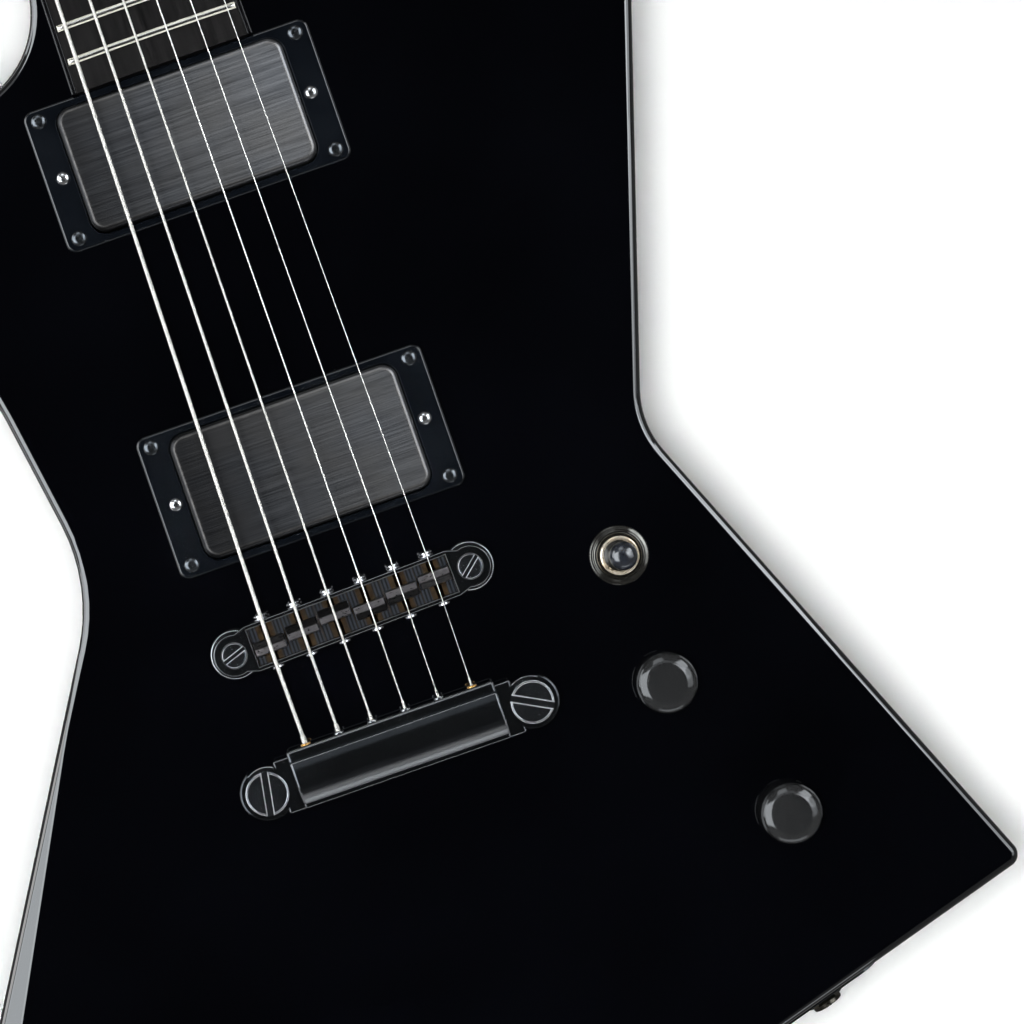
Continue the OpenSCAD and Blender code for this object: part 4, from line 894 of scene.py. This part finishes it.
def pickup_rings():
    shell = Shell()
    outer = box_corners(RING_L, RING_W, 3)
    window = box_corners(COVER_L + 0.8, COVER_W + 0.8, COVER_CORNER + 0.4)
    for y, ring_h in PICKUPS.values():
        profile = [level(window, 0), level(outer, 0)] + rim(outer, ring_h, 0.7, 5)
        profile += rim(window, ring_h, 0.4, 3, inwards=-1)[::-1]
        shell.join(loft(profile, wrap=True, at=T((0, y, BODY_T))))
    make("pickup_rings", shell, RING_PLASTIC)


def height_springs(name):
    """Springs from the pickup's ears up to its ring."""
    y, ring_h = PICKUPS[name]
    low, high = BODY_T + ring_h + COVER_PROUD - PICKUP_H, BODY_T + ring_h - SPRING_SEAT
    wire, radius, turns = 0.4, 2.5, 6
    spring = coil(radius, wire, low + wire, (high - low - 2 * wire) / turns, turns, 20, 8)
    shell = copies(spring, [T((side * EAR_X, y, 0)) for side in (-1, 1)])
    obj = make(name + "_pickup_springs", shell, INNER_STEEL, None, 70)
    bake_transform(obj)


for pickup_name in PICKUPS:
    cover(pickup_name)
pickup_rings()
for pickup_name in PICKUPS:
    height_springs(pickup_name)


def cross_head(r, h, width, length, flat_top=0.35):
    """A screw head standing on z = 0, with a cross recess."""
    line = [(0, 0), (r, 0), (r, h * 0.25)]
    line += [(r * (flat_top + (1 - flat_top) * cos(a)), h * (0.25 + 0.75 * sin(a)))
             for a in angles(6, QUARTER)[1:]]
    x, y, taper = length / 2, width / 2, 0.75
    bars = [tower([(x * taper, y * taper, h * 0.3), (x, y, h + 0.5)], at=R(turn, 4, "Z"))
            for turn in (0, QUARTER)]
    return cut(lathe(line + [(0, h)], 36), *bars)


RING_HEAD = cross_head(2.3, 1.1, 0.6, 2.7)
HEIGHT_HEAD = cross_head(2.05, 1.5, 0.6, 2.2, 0.2)


def screws(node, look, head, r, places):
    """places: (matrix, length) of each screw, with its head standing on the matrix's origin."""
    shell = Shell()
    for k, (at, length) in enumerate(places):
        at = at @ R(0.7 + 1.9 * k, 4, "Z")
        shell.join(head, at)
        line = [(0, -length), (r * 0.5, -length), (r, -length + 2 * r)]
        shell.join(lathe(line + [(r, 0.3), (0, 0.3)], 20, at=at))
    make(node, shell, look)


screws("ring_screws", SCREW_BLACK, RING_HEAD, 1.15,
       [(T((sx * RING_SCREW_X, y + sy * RING_SCREW_Y, BODY_T + h)), h + 8)
        for y, h in PICKUPS.values() for sx in (-1, 1) for sy in (-1, 1)])
screws("height_screws", STEEL, HEIGHT_HEAD, 1.3,
       [(T((sx * EAR_X, y, BODY_T + h)), h + 18) for y, h in PICKUPS.values() for sx in (-1, 1)])


# ---- strings

def neck_point(x, y, z):
    return NECK @ Vector((x, y, z))


def string_points(i):
    """Where string i bends, from the tailpiece to its post."""
    d = STRING_D[i]
    crest = Vector((bridge_x(i), CREST_Y[i], crest_z(i) + d / 2 + CREST_GAP))
    height = BOARD_T + 1.9 - nut_x(i) ** 2 / 2 / BOARD_R
    nut = neck_point(nut_x(i), NUT_Y + 0.5, height)
    behind = crest - (nut - crest) * BEND_BACK / (nut.y - crest.y)
    p = post_at(i)
    hole = Vector((bridge_x(i), TAIL_REAR + 3.5, BODY_T + EXIT_Z))
    lip = Vector((bridge_x(i), TAIL_FRONT - 0.3, BODY_T + EXIT_Z))
    return [hole, lip, behind, nut, neck_point(nut_x(i), NUT_Y + NUT_T - 0.5, height - 0.08),
            HEAD @ Vector((p.x + POST_R + d / 2 + 0.05, p.y, WRAP_Z))]


def string_shell(i):
    """A string from its ball in the tailpiece to its post, with a lock winding by the tailpiece."""
    hole, lip, behind, nut, nut_front, post = string_points(i)
    r, winding, ridges, steps = STRING_D[i] / 2, 3.4, 12, 8
    along = (behind - lip).normalized()
    points, radii = [hole, lip], [r, r]
    for k in range(ridges + 1):
        t = k / ridges
        points.append(lip + along * (0.2 + winding * t))
        radii.append(r + (0.22 + 0.13 * (-1) ** k) * (1 - t * 0.35) if k < ridges else r)
    for a, b in ((points[-1], behind), (behind, nut)):
        points += [a.lerp(b, k / steps) for k in range(1, steps + 1)]
    points += [nut_front, post]
    shell = tube(points, radii + [r] * (len(points) - len(radii)), 14)
    ball = [(0, -1.7), (1.2, -1.7), (1.9, -1.0), (1.9, 1.0), (1.2, 1.7), (0, 1.7)]
    ball_at = T((bridge_x(i), TAIL_REAR + 4.3, BODY_T + EXIT_Z)) @ R(QUARTER, 4, "X")
    shell.join(lathe(ball, 24, at=ball_at))
    return shell


for label, look, which in (("wound", WOUND, (0, 1, 2)), ("plain", PLAIN, (3, 4, 5))):
    both = Shell()
    for i in which:
        both.join(string_shell(i))
    strings = make(label + "_strings", both, look, sharp=70)
    strings.visible_glossy = False


# ---- bridge

# From the row's frame back to the bridge's own, in millimetres.
ON_BRIDGE = BRIDGE.inverted() @ DRAW.inverted()
POST_SPAN = POST_SPREAD / 2 / cos(SLANT)
CHANNEL, BAR_X, POST_EAR_R = (62.4, 11.4), 31.5, 6.2
SADDLE_W, SADDLE_L, SCREW_Z = 9.4, 4.2, 12.2
CREST_T, CREST_LEAN = 2.3, 0.9


def saddle_at(i):
    return Vector((bridge_x(i) * cos(SLANT) + CREST_Y[i] * sin(SLANT),
                   CREST_Y[i] * cos(SLANT) - bridge_x(i) * sin(SLANT)))


def bridge_frame():
    """A bar with a round ear at each post, its channel, and the holes of posts and screws."""
    outline, reach = [], radians(109)
    for s in (-1, 1):
        outline += [(s * BAR_X, -s * FRAME_W / 2, 0)]
        outline += [(s * (POST_SPAN + POST_EAR_R * cos(a)), s * POST_EAR_R * sin(a), 0)
                    for a in (b - reach for b in angles(24, 2 * reach))]
        outline += [(s * BAR_X, s * FRAME_W / 2, 0)]
    base = slab(outline, FRAME_Z, FRAME_Z + FRAME_H, top=0.45, bottom=0.3)
    top = FRAME_Z + FRAME_H
    x, y = CHANNEL[0] / 2, CHANNEL[1] / 2
    tools = [tower([(x, y, FRAME_Z + 1.6), (x, y, top - 0.35), (x + 0.5, y + 0.5, top + 0.2),
                    (x + 0.5, y + 0.5, top + 1)])]
    for s in (-1, 1):
        tools.append(lathe([(3.66, FRAME_Z - 1), (3.66, top - 0.3), (4.1, top + 0.15), (4.1, top + 1)],
                           40, at=T((s * POST_SPAN, 0, 0))))
    for i in range(6):
        tools.append(rod(1.25, -9, 9, T((saddle_at(i).x, 0, SCREW_Z))))
    make("bridge_frame", Shell().join(cut(base, *tools), BRIDGE), BRIDGE_METAL)


bridge_frame()


def saddle(i):
    at = saddle_at(i)
    lean = -CREST_LEAN if i < 3 else CREST_LEAN
    bottom, top, half = FRAME_Z + 1.7, crest_z(i) - BODY_T, SADDLE_L / 2
    line = [(-half, bottom), (half, bottom), (half, bottom + 5),
            (min(half, lean + CREST_T / 2), top - 0.7), (lean + CREST_T / 2 - 0.1, top),
            (lean - CREST_T / 2 + 0.1, top), (max(-half, lean - CREST_T / 2), top - 0.7),
            (-half, bottom + 5)]
    shell = loft([[(x, y, z) for y, z in line] for x in (-SADDLE_W / 2, SADDLE_W / 2)])
    shell = bevelled(shell, 0.22, clamp=True)
    groove = STRING_D[i] / 2 + 0.12
    tools = [rod(1.3, -4, 4, T((0, 0, SCREW_Z))),
             rod(groove, -4, 4, T((0, 0, top + 0.1 + groove * 0.45)), 16)]
    shell = Shell().join(cut(shell, *tools), BRIDGE @ T((at.x, at.y - lean, 0)))
    piece = make(f"saddle_{i + 1}", shell, SADDLE, f"saddle_{i + 1}_body")
    # the crest's top, painted paler as a highlight
    paint(piece, "crest", lambda co: float(-co.y > (BODY_T + top - 0.06) * MM))


for string in range(6):
    saddle(string)


def painted_channel_floor():
    """A thin liner on the floor of the frame, painted with reflections: brown under the strings, blue-grey
    between them with light and dark stripes that paint the shading of ribs.
    """
    x, y, low, high = CHANNEL[0] / 2 - 0.05, CHANNEL[1] / 2 - 0.05, FRAME_Z + 1.55, FRAME_Z + 1.66
    columns = 248
    shell = loft([[(a, -y, low), (a, y, low), (a, y, high), (a, -y, high)]
                  for a in (-x + 2 * x * k / columns for k in range(columns + 1))], at=BRIDGE)

    # where the liner's painted reflection changes from brown under the strings to blue-grey between them
    def between(co):
        off = min(abs((ON_BRIDGE @ co).x - saddle_at(i).x) for i in range(6))
        return smooth((off - 2.3) / 0.5) if off < 5 else 0.4

    paint(add("bridge_floor_painted_reflections", shell, REFLECTION_LINER), "between", between)


painted_channel_floor()


def intonation_screws():
    shell, front = Shell(), FRAME_W / 2
    for i in range(6):
        at = BRIDGE @ T((saddle_at(i).x, 0, SCREW_Z)) @ R(-QUARTER, 4, "X")
        line = [(0, -front - 1.1), (1.3, -front - 1.1), (1.65, -front - 0.9), (1.65, -front - 0.35),
                (1.2, -front - 0.1)]
        z = -front + 1
        while z < front - 1:
            line += [(1.18, z), (0.92, z + 0.22), (1.18, z + 0.44)]
            z += 0.44
        line += [(1.1, front + 0.05), (1.9, front + 0.05), (1.95, front + 0.2), (1.95, front + 0.45),
                 (1.3, front + 0.6), (1.3, front + 0.95), (1.95, front + 1.1), (1.95, front + 1.4),
                 (1.75, front + 1.6), (0, front + 1.6)]
        groove = block(-3, 3, -0.3, 0.3, front + 1.1, front + 3, at=R(0.4 + 1.3 * i, 4, "Z"))
        shell.join(cut(lathe(line, 28), groove), at)
    piece = make("intonation_screws", shell, SCREW_STEEL)
    # painted shade, tinted brown, along the thread inside the channel
    paint(piece, "shaded_thread", lambda co: float(abs((ON_BRIDGE @ co).y) < front - 0.1))


intonation_screws()


def bridge_posts():
    shell = Shell()
    for s in (-1, 1):
        at = T((s * POST_SPREAD / 2, s * POST_SPREAD / 2 * tan(SLANT), BODY_T))
        shell.join(lathe([(4, -18), (4, FRAME_Z - 2.9)], 32), at)
        shell.join(lathe([(0, 5), (7.0, 5), (7.4, 5.4), (7.4, 7.5), (7.34, 7.75),
                          (7.2, 7.9), (7.0, 7.96), (6.8, 8), (0, 8)], 144, knurl=(5.3, 7.92, 0.24)), at)
        head = lathe([(0, 7), (3.6, 7), (3.6, 15.05), (3.56, 15.22), (3.46, 15.33), (3.34, 15.36),
                      (3.2, 15.33), (3.12, 15.2), (3.06, 15.0), (0, 15.0)], 64)
        shell.join(cut(head, slot(0.5, 13.6, 15.0, 30 + s * 11)), at)
    make("bridge_posts", shell, POLISHED)


bridge_posts()


# ---- tailpiece

TAIL_Z, TAIL_H, LEDGE, TAIL_BAR = 4, 10, (3.1, 7), 64.6
LUG_R, LUG_T = 8.2, 6.5


def tail_profile(inset):
    """The bar's outline seen from its end, as (y, z), moved inwards by inset."""
    line = [(TAIL_REAR, 0, 1), (TAIL_FRONT, 0, 1), (TAIL_FRONT, LEDGE[1], 1.2),
            (TAIL_FRONT - LEDGE[0], LEDGE[1], 0), (TAIL_FRONT - LEDGE[0] - 0.5, TAIL_H - 1.4, 0.6),
            ((TAIL_FRONT + TAIL_REAR) / 2 + 0.8, TAIL_H, 14), (TAIL_REAR + 3.9, TAIL_H - 1.0, 0),
            (TAIL_REAR + 1.6, TAIL_H - 2.6, 0), (TAIL_REAR + 1.25, TAIL_H - 3.2, 0),
            (TAIL_REAR, TAIL_H - 3.3, 0.4)]
    points, out = rounded(line, radians(10)), []
    for k, p in enumerate(points):
        along = (points[(k + 1) % len(points)] - points[k - 1]).normalized()
        out.append(p + inset * Vector((-along.y, along.x)))
    return out


def tailpiece():
    ends, tools = [(1, 0.7), (0.995, 0.35), (0.985, 0.12), (0.97, 0)], []
    rings = [[(x * TAIL_BAR / 2, p.x, p.y + BODY_T + TAIL_Z) for p in tail_profile(inset)]
             for x, inset in [(-x, inset) for x, inset in ends] + ends[::-1]]
    for i in range(6):
        at = T((bridge_x(i), 0, BODY_T + EXIT_Z))
        tools.append(rod(1.3, TAIL_REAR - 5, TAIL_FRONT + 5, at))
        tools.append(rod(2.05, TAIL_REAR - 5, TAIL_REAR + 6, at, 28))
    shell = cut(loft(rings), *tools)
    for s in (-1, 1):
        lug = lathe([(0, 0.2), (LUG_R - 0.3, 0.2), (LUG_R, 0.5), (LUG_R, LUG_T - 0.7),
                     (LUG_R - 0.25, LUG_T - 0.15), (LUG_R - 0.8, LUG_T), (0, LUG_T)], 64)
        lug = cut(lug, lathe([(4.1, -1), (4.1, 20)], 40), block(-4.1, 4.1, 0, 20, -1, 20))
        shell.join(lug, T((s * STUD_SPREAD / 2, -STUD_Y, BODY_T + TAIL_Z)))
        inner, outer = sorted((s * (TAIL_BAR / 2 - 2), s * (STUD_SPREAD / 2 - 4.3)))
        web = bevelled(block(inner, outer, TAIL_REAR, TAIL_REAR + 16.2, 0.1, LUG_T - 0.05), 0.6, 3)
        shell.join(web, T((0, 0, BODY_T + TAIL_Z)))
    make("tailpiece", shell, BRIDGE_METAL)


tailpiece()


def sleeves():
    """The ends of the string holes: brass under the outer strings, black under the others."""
    line = [(0.75, -0.8), (1.45, -0.8), (1.5, 0.3), (1.35, 0.5), (1.1, 0.55), (0.75, 0.4)]
    sleeve = loft([[(r * cos(a), r * sin(a), z) for a in angles(32)[:-1]] for r, z in line],
                  wrap=True)
    for name, look, which in (("brass_sleeves", BRASS, (0, 5)), ("black_sleeves", POLISHED, (1, 2, 3, 4))):
        places = [T((bridge_x(i), TAIL_FRONT, BODY_T + EXIT_Z)) @ R(-QUARTER, 4, "X") for i in which]
        add(name, copies(sleeve, places), look)


sleeves()


def tailpiece_studs():
    shell = Shell()
    top = TAIL_Z + LUG_T
    for s in (-1, 1):
        at = T((s * STUD_SPREAD / 2, -STUD_Y, BODY_T))
        shell.join(lathe([(0, -18), (4, -18), (4, 2.2), (7.1, 2.2), (7.3, 2.4), (7.3, 3.7), (7.1, 3.9),
                          (4, 4), (4, top + 0.2), (0, top + 0.2)], 48), at)
        head = lathe([(0, top), (6.2, top), (6.5, top + 0.3), (6.5, top + 2.5), (6.44, top + 2.78),
                      (6.3, top + 2.94), (6.1, top + 3), (5.9, top + 2.94), (5.76, top + 2.78),
                      (5.7, top + 2.6), (0, top + 2.6)], 96)
        shell.join(cut(head, slot(0.9, top + 1.2, top + 2.6, 26 - s * 54, 0.35)), at)
    make("tailpiece_studs", shell, POLISHED)


tailpiece_studs()


# ---- controls

def switch():
    at = T((*SWITCH, BODY_T))
    pivot = T((*SWITCH, BODY_T - 2))
    ball = [(4.5 * sin(a), -4.5 * cos(a)) for a in angles(17, 0.85 * pi)]
    lever = lathe(ball + [(2.1, 4.0), (1.8, 10), (0, 10)], 32, at=pivot)
    lever.join(lathe([(1.3, -7), (1.3, -3)], 16, at=pivot))
    tip = soft([(0, 9), (2.6, 9, 0.5), (3.2, 13, 3), (4.2, 18, 3), (4.1, 21.6, 2.8), (0, 22.4)])
    lever.join(lathe(tip, 48, at=pivot))
    make("switch_lever", lever, TIP, "switch_lever_body", 60)
    bore = 4.56
    house = lathe([(5.9, -6), (5.9, 3.9), (5.75, 4.3), (5.4, 4.5), (5.0, 4.4), (4.65, 4.0),
                   (bore, 3.4), (bore, -12)], 64, at=at)
    house.join(cut(block(-8, 8, -14, 14, -26, -6, at=at), lathe([(bore, -12), (bore, 8)], 32, at=at)))
    make("switch_housing", house, SWITCH_METAL)
    nut = [(5.9, 0), (9, 0), (9, 1.2), (8.93, 1.45), (8.75, 1.6), (8.5, 1.66), (8.0, 1.66),
           (7.85, 1.72), (7.75, 1.9), (7.65, 2.16), (7.5, 2.3), (7.3, 2.36), (6.8, 2.36),
           (6.62, 2.3), (6.5, 2.1), (6.4, 1.9), (5.9, 1.9)]
    make("switch_nut", lathe(nut, 120, at=at, knurl=(0.2, 1.63, 0.2)), SWITCH_RING)


switch()


def volume_knob(k):
    at = T((*KNOBS[k], BODY_T))
    line = [(0, 6), (7.7, 6), (7.7, 0.8), (8.9, 0.8), (9.2, 1.1), (9.1, 6.9), (9.0, 12.7)]
    line += [(7.58 + 1.1 * cos(t), 13.31 + 1.1 * sin(t)) for t in angles(5, radians(52))]
    line += [(5.0 + 5.3 * sin(t), 10.0 + 5.3 * cos(t)) for t in angles(10, radians(38))[-2::-1]]
    shell = lathe(line + [(2.5, 15.3), (0, 15.3)], 96, at=at)
    shell.join(lathe([(3, -9), (3, 8)], 24, at=at))
    make(f"volume_knob_{k + 1}", shell, KNOB_LOOK, f"knob_{k + 1}_body", 50)


for knob in range(2):
    volume_knob(knob)


# ---- jack, straps, rear

def horn_edge():
    low, high = Vector(BODY_OUTLINE[8][:2]), Vector(BODY_OUTLINE[7][:2])
    at = low.lerp(high, 0.78)
    turn = atan2(high.y - low.y, high.x - low.x) + pi
    return T((at.x, at.y, BODY_T / 2)) @ R(turn, 4, "Z") @ R(QUARTER, 4, "X")


def strap_buttons():
    buttons, bolts = Shell(), Shell()
    line = soft([(2.2, 0), (7, 0, 0.3), (7, 1.5, 0.4), (4.0, 3.5, 2), (3.6, 6.5, 3), (4.0, 9, 2),
                 (6.6, 11, 0.4), (6.6, 12.4, 0.4), (6, 13, 0.3), (2.2, 13)])
    for at in (rear_edge(-70), horn_edge()):
        buttons.join(lathe(line, 64, at=at))
        bolts.join(cross_head(4, 1.8, 1.0, 4.4), at @ T((0, 0, 13)))
        bolts.join(lathe([(0, -23), (2.15, -20), (2.15, 13.2), (0, 13.2)], 20, at=at))
    make("strap_buttons", buttons, HARDWARE)
    make("strap_button_screws", bolts, STEEL)


strap_buttons()
refine("jack_plate", HARDWARE, 0.5, 3)
refine("output_jack", JACK_METAL, 0.3)
refine("jack_nut", NUT_METAL, 0.25, angle=40)
refine("truss_rod_cover", GLOSS_PLASTIC, 0.35, 3)
refine("rear_cover", MATTE_PLASTIC, 0.3)
refine("nut", NUT_LOOK, 0.2)
refine("fingerboard_binding", BINDING_LOOK, 0.3, 3, angle=50)


# ---- tuners

KEY_X, KEY_Z = 8.1, -20


def tuner_post(i):
    r, gear = POST_R, 5.2
    line = [(0, KEY_Z - 3.8), (r, KEY_Z - 3.8), (r, KEY_Z - 2), (gear, KEY_Z - 2), (gear, KEY_Z + 2),
            (r, KEY_Z + 2), (r, 3.4), (2.7, 3.6), (2.7, WRAP_Z - 4.6), (r, WRAP_Z - 4.4),
            (r, POST_H - 0.7), (2.75, POST_H - 0.2), (2.3, POST_H), (0, POST_H)]
    hole = lathe([(0.9, -10), (0.9, 10)], 16, at=T((0, 0, POST_H - 4)) @ R(QUARTER, 4, "Y"))
    shell = Shell().join(cut(lathe(line, 40), hole), tuner(i))
    make(f"tuner_post_{i + 1}", shell, POST_METAL, f"post_{i + 1}_body")


def string_wraps(i):
    wire = STRING_D[i] / 2
    shell = coil(POST_R + 0.8 * wire, wire, WRAP_Z - 0.05 - 5.8 * wire, 1.9 * wire, 2.9, 24, 10, tuner(i))
    add(f"string_wraps_{i + 1}", shell, WOUND if i < 3 else PLAIN, f"post_{i + 1}_body", 70)


def tuner_key(i):
    at, reach = tuner(i) @ T((KEY_X, 0, KEY_Z)), 15.5
    shell = lathe([(0, -4.5), (2.8, -4.5), (2.8, 4.5), (2, 4.6), (2, reach - 1.6), (3.0, reach - 1.5),
                   (3.2, reach - 1.2), (3.2, reach - 0.2), (3.0, reach + 0.1), (2, reach + 4)], 32,
                  at=at @ R(-QUARTER, 4, "X"))
    button = [(-6, -7, 3), (6, -7, 3), (10, 1, 5), (8, 7, 5), (-8, 7, 5), (-10, 1, 5)]
    shell.join(slab(button, -3.5, 3.5, top=2.2, bottom=2.2, segments=6, at=at @ T((0, reach + 7, 0))))
    make(f"tuner_key_{i + 1}", shell, TUNER_METAL, f"key_{i + 1}_body")


def tuner_housings():
    tools = [lathe([(5.5, KEY_Z - 2.2), (5.5, KEY_Z + 2.2)], 32),
             lathe([(3.05, KEY_Z - 4), (3.05, 0)], 24),
             rod(3.1, -4.7, 4.7, T((KEY_X, 0, KEY_Z))),
             rod(2.05, 0, 20, T((KEY_X, 0, KEY_Z)))]
    housing = cut(bevelled(block(-8, 13.5, -8, 9, -26, -14), 1.2, 3), *tools)
    make("tuner_housings", copies(housing, [tuner(i) for i in range(6)]), TUNER_METAL)


def tuner_bushings():
    bore, flange = 3.05, 7
    tool = lathe([(bore, -1), (bore, 5)], 32)
    hexagon = [(flange * cos(a), flange * sin(a), 0.4) for a in angles(6)[:-1]]
    one = lathe([(bore, -14), (4.8, -14), (4.8, 0), (4.8, 0.01), (bore, 0.01)], 32)
    one.join(cut(slab(hexagon, 0, 2.2, top=0.35, segments=3), tool))
    one.join(cut(lathe([(0, 2), (5.8, 2), (5.8, 2.8), (5.5, 3.2), (0, 3.2)], 40), tool))
    make("tuner_bushings", copies(one, [tuner(i) for i in range(6)]), TUNER_METAL)


for tuner_index in range(6):
    tuner_post(tuner_index)
    string_wraps(tuner_index)
    tuner_key(tuner_index)
tuner_housings()
tuner_bushings()


# ---- CAD pieces shown as they are

for node, look in {
    "fingerboard": EBONY, "truss_rod": INNER_STEEL, "battery": BATTERY_LOOK,
    "cover_screws": SCREW_BLACK, "neck_pickup_core": CORE_LOOK, "bridge_pickup_core": CORE_LOOK,
    "stud_bushings": HARDWARE, "pots": INNER_STEEL, "pot_nuts": INNER_STEEL,
}.items():
    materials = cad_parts[node].data.materials
    materials.clear()
    materials.append(look.material)


# ---- camera

DISTANCE, FIELD = 1.0, 0.305
RIGHT, UP = Vector((0.9445, 0, -0.3286)), Vector((0.3286, 0, 0.9445))
MIDDLE = Vector((0.0545, -0.044, 0.0118))
# The photograph is a part of a wider one, whose middle lay nearer the neck's line.
SHIFT = 0.16

camera = new_object("camera", bpy.data.cameras.new("camera"))
camera.data.sensor_width = 36
camera.data.lens = 36 * DISTANCE / FIELD
camera.data.shift_x = SHIFT
camera.data.clip_start, camera.data.clip_end = 0.01, 50
eye = MIDDLE - SHIFT * FIELD * RIGHT + DISTANCE * Vector((0, -1, 0))
camera.matrix_world = Matrix(((RIGHT.x, UP.x, 0, eye.x), (0, 0, -1, eye.y),
                              (RIGHT.z, UP.z, 0, eye.z), (0, 0, 0, 1)))
bpy.context.scene.camera = camera
bpy.context.scene.view_settings.view_transform = "Standard"


# ---- light

def lamp(name, at, size, power, turn, colour=(1, 1, 1)):
    """A rectangular lamp, unseen by the camera. turn: its rotation, a quaternion."""
    data = bpy.data.lights.new(name, "AREA")
    data.shape = "RECTANGLE"
    data.size, data.size_y = size
    data.energy = power
    data.color = colour
    obj = new_object(name, data)
    obj.location = at
    obj.rotation_mode = "QUATERNION"
    obj.rotation_quaternion = turn
    obj.visible_camera = False
    return obj


def around(angle, azimuth):
    """The direction angle degrees off the face's normal, azimuth degrees round in the main view."""
    a, b = radians(angle), radians(azimuth)
    side, up, front = sin(a) * cos(b), sin(a) * sin(b), cos(a)
    return (side * RIGHT + up * UP + front * Vector((0, -1, 0))).normalized()


PANEL_COLOUR = (0.9, 0.955, 1.0)


def softbox(name, first, last, azimuth, spread, radiance, distance=10.0, about=MIDDLE):
    """A panel seen only in reflections, from first to last degrees off the face's normal."""
    middle = (first + last) / 2
    z = around(middle, azimuth)
    y = (around(middle + 1, azimuth) - z).normalized()
    x = y.cross(z).normalized()
    length = 2 * distance * tan(radians(last - first) / 2)
    width = 2 * distance * tan(radians(spread) / 2)
    panel = lamp(name, about + z * distance, (width, length), radiance * pi * width * length,
                 Matrix((x, y, z)).transposed().to_quaternion(), PANEL_COLOUR)
    panel.visible_diffuse = False


KEY_LEVEL, KEY_SIZE, TO_KEY = 3.85, 0.19, around(5.2, 198)
key = lamp("key", MIDDLE + TO_KEY, (KEY_SIZE, KEY_SIZE), KEY_LEVEL * pi,
           (-TO_KEY).to_track_quat("-Z", "Y"))
key.visible_glossy = False
softbox("left_panel", 20, 64, 188, 46, 4.5)
softbox("left_far_panel", 64, 89, 172, 40, 3.2)
softbox("high_near_panel", 19, 32, 36, 16, 3.6)
softbox("high_panel", 32, 68, 44, 19, 4.4)
softbox("fin_panel", 19, 60, 20, 16, 2.4)
softbox("right_panel", 24, 60, 0, 16, 1.4)
softbox("top_panel", 34, 60, 109, 20, 1.7)
softbox("top_near_panel", 20, 34, 109, 40, 0.5)
softbox("low_panel", 66, 80, -71, 48, 1.6, distance=0.33, about=Vector((0.04, -0.054, -0.048)))

world = bpy.data.worlds.new("surroundings")
bpy.context.scene.world = world
sky = Graph(world)
rays = sky.node("LightPath").outputs
FILL, SHEEN = 0.1, 0.02
level_seen = sky.math("ADD", FILL, sky.math("MULTIPLY", rays["Is Glossy Ray"], SHEEN))
# dark around the camera, within 14 degrees, and fading out at 30
ahead = sky.math("DOT_PRODUCT", sky.node("TexCoord").outputs["Generated"], (0, -1, 0), "VectorMath")
hole = sky.span(ahead, cos(radians(30)), cos(radians(14)), 0, 0.95, smooth=True)
glow = sky.math("MULTIPLY", level_seen, sky.math("SUBTRACT", 1, hole))
open_view = sky.math("MAXIMUM", rays["Is Camera Ray"], rays["Is Transmission Ray"])
shine = sky.node("Background")
shine.inputs["Color"].default_value = (1, 1, 1, 1)
sky.link(sky.math("MAXIMUM", open_view, glow), shine.inputs["Strength"])
sky.link(shine.outputs[0], sky.node("OutputWorld").inputs[0])


# ---- wall and floor

# what gloss sees of the backdrop: its level, and how it rises towards the bass side
GLOSSY_BACKDROP, GLOSSY_FAR, RISE_FROM, RISE_TO = 0.15, 2.6, -0.36, -0.46


def stage_plane(name, corners, colour, near, far, far_gloss):
    """A plain surface that the camera sees brightening away from the main view."""
    mesh = bpy.data.meshes.new(name)
    mesh.from_pydata(corners, [], [(0, 1, 2, 3)])
    obj = new_object(name, mesh)
    mesh.materials.append(bpy.data.materials.new(name))
    graph = Graph(mesh.materials[0])
    where = graph.node("TexCoord").outputs["Object"]
    ray = graph.node("LightPath").outputs
    noise = graph.node("TexNoise")
    noise.inputs["Scale"].default_value = 3
    graph.link(where, noise.inputs["Vector"])
    base = graph.node("BsdfPrincipled")
    base.inputs["Roughness"].default_value = 0.9
    base.inputs["Specular IOR Level"].default_value = 0.1
    graph.link(graph.ramp(noise.outputs["Fac"], [c * 0.985 for c in colour], colour, 0, 1),
               base.inputs["Base Color"])
    level_near = graph.span(graph.math("DISTANCE", where, MIDDLE, "VectorMath"), 0.3, 1.1, near, far)
    lit = graph.emission(graph.math("MULTIPLY", ray["Is Camera Ray"], level_near))
    even = graph.emission(graph.span(graph.axis(where, "X"), RISE_FROM, RISE_TO, GLOSSY_BACKDROP,
                                     far_gloss))
    reflected = graph.math("MAXIMUM", ray["Is Glossy Ray"], ray["Is Transmission Ray"])
    front = graph.joined("MixShader", reflected, graph.joined("AddShader", base.outputs[0], lit), even)
    seen = graph.joined("MixShader", graph.node("NewGeometry").outputs["Backfacing"], front,
                        graph.node("BsdfTransparent").outputs[0])
    graph.link(seen, graph.node("OutputMaterial").inputs[0])
    return obj


WALL_Y, FLOOR_Z = 0.046, -0.42
wall = stage_plane("wall", [(-2.5, WALL_Y, FLOOR_Z), (2.5, WALL_Y, FLOOR_Z), (2.5, WALL_Y, 2.5),
                            (-2.5, WALL_Y, 2.5)], (0.945, 0.96, 0.955), 0.04, 0.8, GLOSSY_FAR)
floor = stage_plane("floor", [(-2.5, -0.6, FLOOR_Z), (2.5, -0.6, FLOOR_Z), (2.5, WALL_Y, FLOOR_Z),
                              (-2.5, WALL_Y, FLOOR_Z)], (0.9, 0.9, 0.9), 0.3, 0.5, GLOSSY_BACKDROP)
